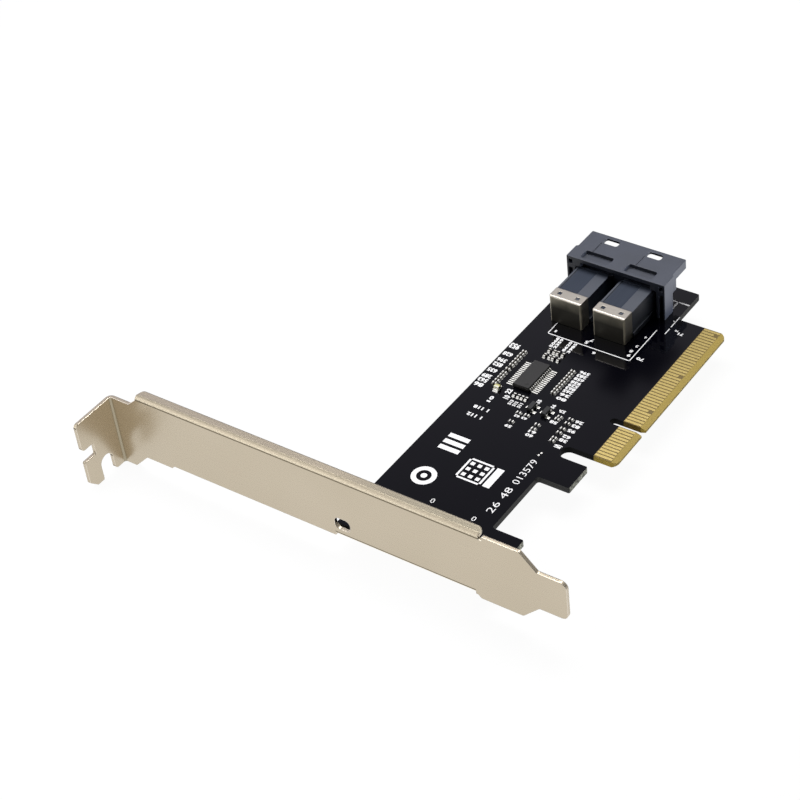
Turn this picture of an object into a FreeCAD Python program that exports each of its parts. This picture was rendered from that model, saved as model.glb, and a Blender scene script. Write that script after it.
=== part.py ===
import FreeCAD, Part
import math
import os

Vector = FreeCAD.Vector

# Driving dimensions, in millimetres.
# The origin is on the finger edge of the board, in the middle of the key notch and on the
# component face. X runs along the board away from the bracket, Y from the fingers towards
# the ear of the bracket, and Z out of the component face.

# Circuit board outline
board_thickness = 1.57
board_far_x = 49.9
board_top_y = 43.4
shoulder_y = 13.0
foot_overhang = 1.7
foot_far_x = -42.1
tab_low_y = 5.0
tab_width = 7.85
slot_width = 3.8
tongue_near_x = -12.15
tongue_far_x = 39.1
key_width = 1.9
key_depth = 8.5
tongue_corner_radius = 1.5
board_corner_radius = 0.35
routed_corner_radius = 0.7
bevel_length = 1.3
bevel_depth = 0.5
board_edge_gap = 0.55

# Gold edge fingers
finger_pitch = 1.0
finger_width = 0.68
finger_thickness = 0.05
finger_top_y = 5.6
finger_low_y = 1.35
short_finger_low_y = 2.5
fingers_before_key = 11
fingers_after_key = 38
key_to_finger = 1.5
short_fingers_front = (17, 31, 48)
short_fingers_back = (1,)

# Folded sheet-metal bracket
sheet = 0.86
bracket_to_key = 58.14
ear_seat_y = 104.2
bracket_length = 120.05
plate_top_z = 15.05
plate_width = 18.25
tongue_width = 10.15
tongue_length = 6.85
tongue_drop = 3.95
tongue_radius = 1.6
neck_radius = 0.8
stiffener_from_tip = 20.75
stiffener_from_seat = 7.9
stiffener_depth = 2.75
stiffener_end_radius = 1.4
stiffener_slant = 0.5
stiffener_slant_radius = 0.9
relief_width = 0.95
fold_radius = 0.15
recess_from_tip = 22.05
recess_from_seat = 15.8
recess_ramp = 0.8
mounting_fold_radius = 0.4
mounting_flange_depth = 10.4
mounting_flange_inset = 0.5
mounting_flange_radius = 2.0
ear_fold_radius = 0.6
ear_depth = 11.5
ear_width = 19.1
ear_drop = 3.2
ear_neck_length = 5.5
ear_corner_radius = 1.0
ear_small_radius = 0.35
ear_chamfer = 2.1
guide_notch_width = 3.2
guide_notch_depth = 3.65
guide_notch_from_top = 7.65
screw_slot_width = 3.95
screw_slot_depth = 5.85
screw_slot_from_plate = 3.3
window_length = 4.1
window_height = 3.2
window_radius = 1.2
window_from_board_top = 2.75
window_centre_z = 1.5

# Bracket screws
screw_diameter = 2.95
screw_clearance = 0.15
thread_clearance = 0.03
screw_head_diameter = 5.4
screw_head_height = 1.9
screw_rim_height = 0.85
screw_crown_diameter = 1.9
screw_dome_bulge = 0.25
screw_recess_width = 0.75
screw_recess_length = 2.9
screw_recess_depth = 1.0
screw_tip_length = 0.5
screw_from_plate = 6.0
screw_near_inset = 5.7
screw_far_inset = 5.5
collar_wall = 0.7
collar_depth = 0.95

# Two-port connector
port_pitch = 11.9
ports_from_top = 14.15
port_front_inset = 1.1
housing_length = 11.5
housing_height = 10.1
housing_overhang = 7.5
housing_step = 0.5
housing_step_x = 4.4
housing_corner_radius = 0.2
hood_shift = 0.36
roof_thickness = 1.4
roof_lip = 0.95
skirt_height = 2.35
skirt_thickness = 3.35
leg_length = 3.9
leg_thickness = 2.3
channel_wall = 0.5
channel_width = 1.1
channel_depth = 1.6
channel_from_top = 0.75
bridge_from_top = 1.95
bridge_height = 1.2
cheek_length = 2.6
cheek_drop = 3.0
bulkhead_thickness = 1.8
divider_thickness = 1.5
divider_front_inset = 1.8
pocket_length = 3.1
pocket_width = 7.8
pocket_depth = 1.0
pocket_inset = 0.9
pocket_radius = 0.6
latch_window_length = 2.1
latch_window_width = 3.9
latch_window_inset = 1.1
latch_window_radius = 0.7
latch_track_margin = 0.6
latch_track_roof = 0.55
seam_width = 0.25
seam_depth = 0.15
seam_offset = 2.15
peg_diameter = 1.3
peg_length = 1.2
peg_clearance = 0.1

# Contact modules and their metal end caps
module_width = 8.7
module_height = 7.4
module_step = 0.8
module_face_inset = 5.2
module_rear_length = 24.3
module_crown_reach = 0.95
module_crown_radius = 1.2
module_seat_gap = 0.05
module_fit = 0.1
panel_depth = 0.15
panel_near_side = 1.2
panel_far_side = 3.8
panel_margin = 0.45
ledge_height = 1.4
ledge_width = 0.3
ledge_reach = 1.2
card_slot_width = 7.4
card_slot_height = 1.3
card_slot_depth = 4.4
card_slot_low_z = 1.9
card_slot_spacing = 2.9
contact_count = 9
contact_pitch = 0.75
contact_width = 0.38
contact_length = 3.6
contact_crest = 2.7
contact_thickness = 0.15
contact_rise = 0.25
cap_length = 3.5
cap_sheet = 0.25
cap_rise = 0.25
cap_fit = 0.05
cap_radius = 0.45
cap_window = 1.0
cap_window_offset = 2.45
cap_window_from_rear = 1.9
tail_width = 0.36
tail_length = 0.85
tail_columns = 9
tail_rows = 4
tail_pitch_y = 0.85
tail_pitch_x = 3.4
tail_from_rear = 2.2

# Clock chip in a gull-wing package
chip_x = 4.15
chip_rise = 19.05
chip_length = 9.7
chip_width = 4.4
chip_height = 1.1
chip_standoff = 0.1
chip_draft = 0.12
chip_dimple_radius = 0.45
chip_dimple_depth = 0.06
chip_dimple_inset = 0.95
lead_pitch = 0.65
leads_per_side = 14
lead_width = 0.25
lead_thickness = 0.14
lead_reach = 1.05
lead_foot = 0.55
lead_shoulder = 0.22
lead_height = 0.56

# Two switching transistors
transistor_x = -5.1
transistor_first_rise = 13.2
transistor_spacing = 3.8
transistor_length = 2.9
transistor_width = 1.35
transistor_height = 1.05
transistor_lead_width = 0.42
transistor_lead_reach = 0.55
transistor_lead_foot = 0.3
transistor_lead_spacing = 1.9

# Status light
light_x = -2.95
light_rise = 23.95
light_length = 2.0
light_width = 1.25
light_base_height = 0.4
light_lens_height = 0.7
light_terminal = 0.38
light_lens_draft = 0.12

# Small chip capacitors and resistors
chip_part_length = 1.05
chip_part_width = 0.55
capacitor_height = 0.52
resistor_height = 0.36
terminal_length = 0.27
terminal_wrap = 0.02

# Places of the small chip parts, as x and the rise above the board's shoulder
upper_row_rise = 25.55
upper_row_xs = (-1.7, -0.6, 0.5, 1.5, 2.5, 4.0, 5.6, 6.7, 7.85, 8.95, 10.1, 11.2)
lower_row_rise = 11.7
lower_row_first_x = 1.7
lower_row_pitch = 1.075
lower_row_count = 9
pair_columns = (12.3, 14.4)
pair_row_rises = (20.55, 19.2, 18.25, 16.85)
pull_up_x = -3.05
pull_up_rises = (19.25, 18.1, 17.1, 16.05)
strap_places = ((-11.15, 14.9), (-7.85, 15.0), (-7.75, 12.9), (-10.95, 9.1), (-9.35, 9.1),
                (-5.65, 6.15), (-4.75, 6.0))
shoulder_row_rise = 3.35
shoulder_row_xs = (-12.4, -11.35, -9.35, -7.85, -5.8, -4.25)

# Values worked out from the driving dimensions
plate_face_x = -bracket_to_key
plate_back_x = plate_face_x + sheet
board_near_x = plate_back_x + board_edge_gap
tab_far_x = tongue_near_x - slot_width
tip_y = ear_seat_y - bracket_length
stiffener_near_y = tip_y + stiffener_from_tip
stiffener_far_y = ear_seat_y - stiffener_from_seat
recess_near_y = tip_y + recess_from_tip
recess_far_y = ear_seat_y - recess_from_seat
flange_near_y = recess_near_y + mounting_flange_inset
flange_far_y = board_top_y - mounting_flange_inset
foot_low_y = flange_near_y - foot_overhang
plate_low_z = plate_top_z - plate_width
ear_top_z = plate_top_z - ear_drop
ear_low_z = ear_top_z - ear_width
flange_low_z = -board_thickness - sheet
screw_x = plate_back_x + screw_from_plate
screw_places = ((screw_x, flange_near_y + screw_near_inset), (screw_x, flange_far_y - screw_far_inset))
screw_bore_radius = screw_diameter / 2 + thread_clearance
housing_front_x = board_far_x - port_front_inset
housing_rear_x = housing_front_x - housing_length
leg_front_x = housing_rear_x + leg_length
ports_centre_y = board_top_y - ports_from_top
port_ys = (ports_centre_y + port_pitch / 2, ports_centre_y - port_pitch / 2)
housing_half_width = port_pitch / 2 + housing_overhang
hood_centre_y = ports_centre_y - hood_shift
skirt_low_z = housing_height - skirt_height
ceiling_z = housing_height - roof_thickness
module_face_x = housing_front_x - module_face_inset
cap_rear_x = housing_front_x - module_rear_length
cap_front_x = cap_rear_x + cap_length
chip_y = shoulder_y + chip_rise


# Points nearer than this are one point of an outline.
same_point = 1e-6


# Helpers for outlines and blocks

def on_xy(z):
    return lambda u, v: Vector(u, v, z)


def on_yz(x):
    return lambda u, v: Vector(x, u, v)


def on_xz(y):
    return lambda u, v: Vector(u, y, v)


def outline_face(corners, place):
    """Face of a closed outline of (u, v, radius) corners, each rounded by its own radius."""
    runs = []
    for index, (u, v, radius) in enumerate(corners):
        before = corners[index - 1]
        after = corners[(index + 1) % len(corners)]
        corner = Vector(u, v, 0)
        to_before = (Vector(before[0], before[1], 0) - corner).normalize()
        to_after = (Vector(after[0], after[1], 0) - corner).normalize()
        if radius == 0:
            runs.append((corner, None, corner))
            continue
        half_angle = to_before.getAngle(to_after) / 2
        reach = radius / math.tan(half_angle)
        inward = (to_before + to_after).normalize()
        crown = corner + inward * (radius / math.sin(half_angle) - radius)
        runs.append((corner + to_before * reach, crown, corner + to_after * reach))
    edges = []
    for index, (start, crown, end) in enumerate(runs):
        previous_end = runs[index - 1][2]
        if previous_end.distanceToPoint(start) > same_point:
            edges.append(Part.LineSegment(place(*previous_end[:2]), place(*start[:2])).toShape())
        if crown is not None:
            arc = Part.Arc(place(*start[:2]), place(*crown[:2]), place(*end[:2]))
            edges.append(arc.toShape())
    return Part.Face(Part.Wire(Part.__sortEdges__(edges)))


def cuboid(x_range, y_range, z_range):
    size = [high - low for low, high in (x_range, y_range, z_range)]
    return Part.makeBox(*size, Vector(x_range[0], y_range[0], z_range[0]))


def around(centre, width):
    return (centre - width / 2, centre + width / 2)


def rounded_block(x_range, y_range, z_range, radius):
    corners = [(x_range[0], y_range[0], radius), (x_range[1], y_range[0], radius),
               (x_range[1], y_range[1], radius), (x_range[0], y_range[1], radius)]
    face = outline_face(corners, on_xy(z_range[0]))
    return face.extrude(Vector(0, 0, z_range[1] - z_range[0]))


def cylinder(x, y, z_range, radius):
    return Part.makeCylinder(radius, z_range[1] - z_range[0], Vector(x, y, z_range[0]))


def joined(shapes):
    return shapes[0].fuse(shapes[1:]).removeSplitter()


def group(shapes):
    return Part.makeCompound(shapes)


# Circuit board

def circuit_board():
    half_key = key_width / 2
    half_slot = slot_width / 2
    corners = [
        (board_near_x, foot_low_y, 0.0),
        (foot_far_x, foot_low_y, board_corner_radius),
        (foot_far_x, shoulder_y, routed_corner_radius),
        (tab_far_x - tab_width, shoulder_y, routed_corner_radius),
        (tab_far_x - tab_width, tab_low_y, board_corner_radius),
        (tab_far_x, tab_low_y, board_corner_radius),
        (tab_far_x, shoulder_y, half_slot),
        (tongue_near_x, shoulder_y, half_slot),
        (tongue_near_x, 0.0, tongue_corner_radius),
        (-half_key, 0.0, 0.0),
        (-half_key, key_depth, half_key),
        (half_key, key_depth, half_key),
        (half_key, 0.0, 0.0),
        (tongue_far_x, 0.0, tongue_corner_radius),
        (tongue_far_x, shoulder_y, routed_corner_radius),
        (board_far_x, shoulder_y, board_corner_radius),
        (board_far_x, board_top_y, board_corner_radius),
        (board_near_x, board_top_y, 0.0),
    ]
    board = outline_face(corners, on_xy(-board_thickness)).extrude(Vector(0, 0, board_thickness))
    tongue_length_x = Vector(tongue_far_x - tongue_near_x, 0, 0)
    bevels = []
    for face_z, inward in ((0.0, -1.0), (-board_thickness, 1.0)):
        wedge = [(0.0, face_z, 0.0), (bevel_length, face_z, 0.0), (0.0, face_z + inward * bevel_depth, 0.0)]
        bevels.append(outline_face(wedge, on_yz(tongue_near_x)).extrude(tongue_length_x))
    through = (-board_thickness, 0.0)
    screw_holes = [cylinder(x, y, through, screw_diameter / 2 + screw_clearance) for x, y in screw_places]
    peg_holes = [cylinder(x, y, through, peg_diameter / 2 + peg_clearance) for x, y in peg_places()]
    return board.cut(bevels + screw_holes + peg_holes)


def edge_fingers(face_z, thickness, short_numbers):
    """Row of plated contact pads, numbered from the bracket end."""
    first_x = -key_to_finger - (fingers_before_key - 1) * finger_pitch
    centres = [first_x + index * finger_pitch for index in range(fingers_before_key)]
    centres += [key_to_finger + index * finger_pitch for index in range(fingers_after_key)]
    pads = []
    for number, centre in enumerate(centres, start=1):
        low_y = short_finger_low_y if number in short_numbers else finger_low_y
        z_range = (min(face_z, face_z + thickness), max(face_z, face_z + thickness))
        pads.append(cuboid(around(centre, finger_width), (low_y, finger_top_y), z_range))
    return group(pads)


# Folded bracket

def fold(corner_u, corner_v, turn_u, turn_v, inner_radius, place, run):
    """Quarter ring of sheet about a fold whose inner faces meet at the given corner."""
    centre = Vector(corner_u + turn_u * inner_radius, corner_v + turn_v * inner_radius, 0)
    diagonal = math.sqrt(0.5)
    arcs = []
    for radius in (inner_radius, inner_radius + sheet):
        start = place(centre.x - turn_u * radius, centre.y)
        middle = place(centre.x - turn_u * radius * diagonal, centre.y - turn_v * radius * diagonal)
        end = place(centre.x, centre.y - turn_v * radius)
        arcs.append(Part.Arc(start, middle, end).toShape())
    sides = [Part.makeLine(arcs[0].Vertexes[at].Point, arcs[1].Vertexes[at].Point) for at in (0, 1)]
    ring = Part.Wire(Part.__sortEdges__(arcs + sides))
    return Part.Face(ring).extrude(run)


def bracket_plate():
    tongue_top_z = plate_top_z - tongue_drop
    tongue_low_z = tongue_top_z - tongue_width
    neck_y = tip_y + tongue_length
    fold_top_z = plate_top_z - fold_radius - sheet
    ear_neck_y = ear_seat_y - ear_neck_length
    ear_widen_y = ear_neck_y - (plate_low_z - ear_low_z) / 2
    fold_low_z = -board_thickness + mounting_fold_radius
    corners = [
        (tip_y, tongue_low_z, tongue_radius),
        (neck_y, tongue_low_z, neck_radius),
        (neck_y + tongue_low_z - plate_low_z, plate_low_z, neck_radius),
        (recess_near_y - recess_ramp, plate_low_z, 0.0),
        (recess_near_y, flange_low_z, 0.0),
        (flange_near_y, flange_low_z, 0.0),
        (flange_near_y, fold_low_z, 0.0),
        (flange_far_y, fold_low_z, 0.0),
        (flange_far_y, flange_low_z, 0.0),
        (recess_far_y, flange_low_z, 0.0),
        (recess_far_y + recess_ramp, plate_low_z, 0.0),
        (ear_widen_y, plate_low_z, neck_radius),
        (ear_widen_y + plate_low_z - ear_low_z, ear_low_z, neck_radius),
        (ear_seat_y - ear_fold_radius, ear_low_z, 0.0),
        (ear_seat_y - ear_fold_radius, ear_top_z, 0.0),
        (ear_neck_y, ear_top_z, neck_radius),
        (stiffener_far_y, fold_top_z, 0.0),
        (stiffener_near_y, fold_top_z, 0.0),
        (stiffener_near_y - relief_width, fold_top_z, 0.0),
        (stiffener_near_y - relief_width, plate_top_z, 0.0),
        (neck_y + tongue_drop, plate_top_z, neck_radius),
        (neck_y, tongue_top_z, neck_radius),
        (tip_y, tongue_top_z, tongue_radius),
    ]
    plate = outline_face(corners, on_yz(plate_face_x)).extrude(Vector(sheet, 0, 0))
    window_y = around(board_top_y - window_from_board_top, window_length)
    window_z = around(window_centre_z, window_height)
    window = [(window_y[0], window_z[0], window_radius), (window_y[1], window_z[0], window_radius),
              (window_y[1], window_z[1], window_radius), (window_y[0], window_z[1], window_radius)]
    return plate.cut(outline_face(window, on_yz(plate_face_x)).extrude(Vector(sheet, 0, 0)))


def stiffener():
    """Narrow flange folded back along the plate's component-side edge."""
    run = Vector(0, stiffener_far_y - stiffener_near_y, 0)
    outer = fold_radius + sheet
    corner_z = plate_top_z - sheet
    bend = fold(plate_back_x, corner_z, 1.0, -1.0, fold_radius, on_xz(stiffener_near_y), run)
    corners = [
        (plate_face_x + outer, stiffener_near_y, 0.0),
        (plate_face_x + stiffener_depth, stiffener_near_y, stiffener_end_radius),
        (plate_face_x + stiffener_depth, stiffener_far_y - stiffener_slant, stiffener_slant_radius),
        (plate_face_x + outer, stiffener_far_y, 0.0),
    ]
    strip = outline_face(corners, on_xy(plate_top_z - sheet)).extrude(Vector(0, 0, sheet))
    return [bend, strip]


def mounting_flange():
    """Flange under the board, with a tapped collar for each screw."""
    run = Vector(0, flange_far_y - flange_near_y, 0)
    bend = fold(plate_back_x, -board_thickness, 1.0, 1.0, mounting_fold_radius, on_xz(flange_near_y), run)
    edge_x = plate_back_x + mounting_flange_depth
    corners = [
        (plate_back_x + mounting_fold_radius, flange_near_y, 0.0),
        (edge_x, flange_near_y, mounting_flange_radius),
        (edge_x, flange_far_y, mounting_flange_radius),
        (plate_back_x + mounting_fold_radius, flange_far_y, 0.0),
    ]
    strip = outline_face(corners, on_xy(flange_low_z)).extrude(Vector(0, 0, sheet))
    collar_z = (flange_low_z - collar_depth, flange_low_z)
    collars = [cylinder(x, y, collar_z, screw_bore_radius + collar_wall) for x, y in screw_places]
    return [bend, strip] + collars


def ear():
    """Seat that is folded outwards, with its guide notch and its open screw slot."""
    run = Vector(0, 0, ear_width)
    bend = fold(plate_face_x, ear_seat_y, -1.0, -1.0, ear_fold_radius, on_xy(ear_low_z), run)
    fold_x = plate_face_x - ear_fold_radius
    outer_x = plate_face_x - ear_depth
    notch_x = outer_x + guide_notch_depth
    notch_top_z = ear_top_z - guide_notch_from_top
    notch_low_z = notch_top_z - guide_notch_width
    slot_in_x = plate_face_x - screw_slot_from_plate
    slot_out_x = slot_in_x - screw_slot_width
    slot_top_z = ear_low_z + screw_slot_depth
    corners = [
        (fold_x, ear_top_z, 0.0),
        (outer_x, ear_top_z, ear_corner_radius),
        (outer_x, notch_top_z, ear_corner_radius),
        (notch_x, notch_top_z, ear_small_radius),
        (notch_x, notch_low_z, ear_small_radius),
        (outer_x, notch_low_z, ear_small_radius),
        (outer_x, ear_low_z + ear_chamfer, ear_small_radius),
        (outer_x + ear_chamfer, ear_low_z, ear_small_radius),
        (slot_out_x, ear_low_z, ear_small_radius),
        (slot_out_x, slot_top_z, screw_slot_width / 2),
        (slot_in_x, slot_top_z, screw_slot_width / 2),
        (slot_in_x, ear_low_z, ear_corner_radius),
        (fold_x, ear_low_z, 0.0),
    ]
    seat = outline_face(corners, on_xz(ear_seat_y)).extrude(Vector(0, sheet, 0))
    return [bend, seat]


def slot_bracket():
    blank = joined([bracket_plate()] + stiffener() + mounting_flange() + ear())
    bore_z = (flange_low_z - collar_depth, -board_thickness)
    return blank.cut([cylinder(x, y, bore_z, screw_bore_radius) for x, y in screw_places])


def bracket_screw(x, y):
    """Pan-head screw, its head on the board and its end in the flange's collar."""
    head_radius = screw_head_diameter / 2
    tip_z = flange_low_z - collar_depth - screw_tip_length
    shank_radius = screw_diameter / 2
    rim = Vector(head_radius, 0, screw_rim_height)
    crown = Vector(screw_crown_diameter / 2, 0, screw_head_height)
    outward = Vector(screw_head_height - screw_rim_height, 0, head_radius - crown.x).normalize()
    dome = Part.Arc(rim, (rim + crown) / 2 + outward * screw_dome_bulge, crown)
    outline = [crown, Vector(0, 0, screw_head_height), Vector(0, 0, tip_z), Vector(shank_radius, 0, tip_z),
               Vector(shank_radius, 0, 0), Vector(head_radius, 0, 0), rim]
    profile = Part.Wire([dome.toShape()] + list(Part.makePolygon(outline).Edges))
    screw = Part.Face(profile).revolve(Vector(0, 0, 0), Vector(0, 0, 1), 360)
    recess_z = (screw_head_height - screw_recess_depth, screw_head_height)
    long_side = around(0.0, screw_recess_length)
    short_side = around(0.0, screw_recess_width)
    cross = [cuboid(long_side, short_side, recess_z), cuboid(short_side, long_side, recess_z)]
    screw = screw.cut(cross)
    screw.translate(Vector(x, y, 0))
    return screw


# Two-port connector

def peg_places():
    x = (housing_rear_x + leg_front_x) / 2
    inset = housing_half_width - leg_thickness / 2
    return ((x, hood_centre_y + inset), (x, hood_centre_y - inset))


def module_openings():
    """Space in the housing for each contact module: its body, its crown and its ledges."""
    width = module_width + 2 * module_fit
    ledge_width_y = width + 2 * ledge_width
    body_end_x = leg_front_x + cheek_length
    crown_end_x = housing_rear_x + module_crown_reach + module_fit
    ledge_end_x = housing_rear_x + ledge_reach + module_fit
    cuts = []
    for y in port_ys:
        for end_x, width_y, top_z in ((body_end_x, width, module_height - module_step),
                                      (crown_end_x, width, module_height),
                                      (ledge_end_x, ledge_width_y, ledge_height)):
            cuts.append(cuboid((housing_rear_x, end_x), around(y, width_y), (0.0, top_z + module_fit)))
    return cuts


def housing_roof():
    rear = housing_half_width
    front = housing_half_width - housing_step
    step_x = housing_rear_x + housing_step_x
    corners = []
    for side in (-1, 1):
        edge = [
            (housing_rear_x, hood_centre_y + side * rear, 0.0),
            (step_x, hood_centre_y + side * rear, 0.0),
            (step_x + housing_step, hood_centre_y + side * front, 0.0),
            (housing_front_x, hood_centre_y + side * front, housing_corner_radius),
        ]
        corners += edge if side < 0 else reversed(edge)
    hood = outline_face(corners, on_xy(skirt_low_z)).extrude(Vector(0, 0, skirt_height))
    inner_y = around(hood_centre_y, 2 * (front - skirt_thickness))
    hollow = cuboid((housing_rear_x, housing_front_x), inner_y, (skirt_low_z, ceiling_z))
    lip_run = roof_thickness - roof_lip
    lip = [(housing_rear_x, ceiling_z, 0.0), (housing_rear_x + lip_run, ceiling_z, 0.0),
           (housing_rear_x, ceiling_z + lip_run, 0.0)]
    under_cut = outline_face(lip, on_xz(inner_y[0])).extrude(Vector(0, inner_y[1] - inner_y[0], 0))
    return hood.cut([hollow, under_cut])


def housing_top_cuts():
    """Pockets and seams in the roof, and the latch windows, each over a track for a plug's latch."""
    cuts = []
    pocket_x = (housing_rear_x + pocket_inset, housing_rear_x + pocket_inset + pocket_length)
    window_x = (housing_front_x - latch_window_inset - latch_window_length,
                housing_front_x - latch_window_inset)
    top = housing_height
    for y in port_ys:
        pocket_z = (top - pocket_depth, top)
        cuts.append(rounded_block(pocket_x, around(y, pocket_width), pocket_z, pocket_radius))
        window_z = (top - roof_thickness, top)
        window_y = around(y, latch_window_width)
        cuts.append(rounded_block(window_x, window_y, window_z, latch_window_radius))
        track_x = (window_x[0] - latch_track_margin, housing_front_x)
        track_y = around(y, latch_window_width + 2 * latch_track_margin)
        cuts.append(cuboid(track_x, track_y, (ceiling_z, top - latch_track_roof)))
        seam_x = (pocket_x[1], window_x[0])
        cuts.append(cuboid(seam_x, around(y + seam_offset, seam_width), (top - seam_depth, top)))
    return cuts


def housing_sides():
    """Legs at both ends of the hood, each with a short cheek behind it towards the ports' mouths."""
    blocks = []
    for side in (-1, 1):
        outer = hood_centre_y + side * housing_half_width
        inner = outer - side * leg_thickness
        cheek = outer - side * housing_step
        leg_y = (min(outer, inner), max(outer, inner))
        cheek_y = (min(cheek, inner), max(cheek, inner))
        blocks.append(cuboid((housing_rear_x, leg_front_x), leg_y, (0.0, skirt_low_z)))
        cheek_x = (leg_front_x, leg_front_x + cheek_length)
        blocks.append(cuboid(cheek_x, cheek_y, (skirt_low_z - cheek_drop, skirt_low_z)))
    return blocks


def leg_channels():
    """Cored channel in the rear of each leg, with a bridge across it."""
    x_range = (housing_rear_x, housing_rear_x + channel_depth)
    bridge_top_z = housing_height - bridge_from_top
    spans = ((0.0, bridge_top_z - bridge_height), (bridge_top_z, housing_height - channel_from_top))
    middle = housing_half_width - channel_wall - channel_width / 2
    cuts = []
    for side in (-1, 1):
        y_range = around(hood_centre_y + side * middle, channel_width)
        cuts += [cuboid(x_range, y_range, z_range) for z_range in spans]
    return cuts


def port_housing():
    """Moulded hood over both ports, with its legs, bulkhead, divider and board pegs."""
    inner_y = around(hood_centre_y, 2 * (housing_half_width - leg_thickness))
    bulkhead = cuboid((leg_front_x - bulkhead_thickness, leg_front_x), inner_y, (0.0, ceiling_z))
    divider_x = (leg_front_x, housing_front_x - divider_front_inset)
    divider = cuboid(divider_x, around(ports_centre_y, divider_thickness), (0.0, ceiling_z))
    pegs = [cylinder(x, y, (-peg_length, 0.0), peg_diameter / 2) for x, y in peg_places()]
    body = joined([housing_roof(), bulkhead, divider] + housing_sides() + pegs)
    return body.cut(housing_top_cuts() + module_openings() + leg_channels())


def contact_module(port_y):
    """Contact carrier: a crowned block with two card slots in its mating face."""
    low_z = module_seat_gap
    crown_low_z = module_height - module_step
    rear_x = cap_rear_x + cap_sheet + cap_fit
    capped_width = module_width - 2 * (cap_sheet + cap_fit)
    full_y = around(port_y, module_width)
    crown_end_x = housing_rear_x + module_crown_reach
    crown = [
        (cap_front_x + cap_fit, full_y[0], 0.0),
        (crown_end_x, full_y[0], module_crown_radius),
        (crown_end_x, full_y[1], module_crown_radius),
        (cap_front_x + cap_fit, full_y[1], 0.0),
    ]
    capped_z = (low_z, module_height - cap_fit)
    pieces = [
        cuboid((cap_front_x + cap_fit, module_face_x), full_y, (low_z, crown_low_z)),
        outline_face(crown, on_xy(crown_low_z)).extrude(Vector(0, 0, module_step)),
        cuboid((rear_x, cap_front_x + cap_fit), around(port_y, capped_width), capped_z),
    ]
    ledge_x = (cap_front_x + cap_fit, housing_rear_x + ledge_reach)
    pieces.append(cuboid(ledge_x, around(port_y, module_width + 2 * ledge_width), (low_z, ledge_height)))
    nub_width = cap_window - 2 * module_fit
    nub_x = around(cap_rear_x + cap_window_from_rear, nub_width)
    nub_z = (module_height - cap_fit, module_height + cap_rise - cap_fit)
    for side in (-1, 1):
        pieces.append(cuboid(nub_x, around(port_y + side * cap_window_offset, nub_width), nub_z))
    panel_x = (cap_front_x + panel_margin, crown_end_x - panel_margin)
    panel_y = (port_y - panel_near_side, port_y + panel_far_side)
    cuts = [cuboid(panel_x, panel_y, (module_height - panel_depth, module_height))]
    for slot_z in card_slot_heights():
        slot_x = (module_face_x - card_slot_depth, module_face_x)
        cuts.append(cuboid(slot_x, around(port_y, card_slot_width), around(slot_z, card_slot_height)))
    return joined(pieces).cut(cuts)


def card_slot_heights():
    return (card_slot_low_z, card_slot_low_z + card_slot_spacing)


def port_contacts(port_y):
    """Spring contacts on the floor and the ceiling of both card slots."""
    root_x = module_face_x - card_slot_depth
    crest_x = root_x + contact_crest
    blades = []
    for slot_z in card_slot_heights():
        for side in (-1, 1):
            wall_z = slot_z + side * card_slot_height / 2
            crest_z = wall_z - side * contact_rise
            tip_z = wall_z - side * contact_thickness
            outline = [(root_x, wall_z, 0.0), (root_x + contact_length, wall_z, 0.0),
                       (root_x + contact_length, tip_z, 0.0), (crest_x, crest_z, 0.0),
                       (root_x, tip_z, 0.0)]
            for index in range(contact_count):
                y = port_y + (index - (contact_count - 1) / 2) * contact_pitch
                face = outline_face(outline, on_xz(y - contact_width / 2))
                blades.append(face.extrude(Vector(0, contact_width, 0)))
    return group(blades)


def module_end_cap(port_y):
    """Stamped cover over the rear of a contact module, open below and in front."""
    top_z = module_height + cap_rise
    outer_y = around(port_y, module_width)
    inner_y = around(port_y, module_width - 2 * cap_sheet)
    shell = cuboid((cap_rear_x, cap_front_x), outer_y, (module_seat_gap, top_z))
    bends = [edge for edge in shell.Edges if is_rear_bend(edge, top_z)]
    shell = shell.makeFillet(cap_radius, bends)
    hollow = cuboid((cap_rear_x + cap_sheet, cap_front_x), inner_y, (module_seat_gap, top_z - cap_sheet))
    windows = []
    for side in (-1, 1):
        window_x = around(cap_rear_x + cap_window_from_rear, cap_window)
        window_y = around(port_y + side * cap_window_offset, cap_window)
        windows.append(cuboid(window_x, window_y, (top_z - cap_sheet, top_z)))
    return shell.cut([hollow] + windows)


def is_rear_bend(edge, top_z):
    """The folded edges are those of the rear wall, apart from its lower edge."""
    ends = [vertex.Point for vertex in edge.Vertexes]
    at_rear = all(abs(end.x - cap_rear_x) < same_point for end in ends)
    reaches_top = any(abs(end.z - top_z) < same_point for end in ends)
    return at_rear and reaches_top


def port_tails(port_y):
    """Ends of the module's board pins below the solder face."""
    z_range = (-board_thickness - tail_length, -board_thickness)
    tails = []
    for row in range(tail_rows):
        x = cap_rear_x + tail_from_rear + row * tail_pitch_x
        for column in range(tail_columns):
            y = port_y + (column - (tail_columns - 1) / 2) * tail_pitch_y
            tails.append(cuboid(around(x, tail_width), around(y, tail_width), z_range))
    return group(tails)


# Chip, transistors and status light

def drafted_body(x, y, length, width, low_z, high_z, draft):
    """Moulded package: widest at its parting line, drawn in towards both faces."""
    middle_z = (low_z + high_z) / 2
    rings = []
    for z, inset in ((low_z, draft), (middle_z, 0.0), (high_z, draft)):
        x_range = around(x, length - 2 * inset)
        y_range = around(y, width - 2 * inset)
        corners = [Vector(x_range[0], y_range[0], z), Vector(x_range[1], y_range[0], z),
                   Vector(x_range[1], y_range[1], z), Vector(x_range[0], y_range[1], z)]
        rings.append(Part.makePolygon(corners + corners[:1]))
    return Part.makeLoft(rings, True, True)


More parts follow.
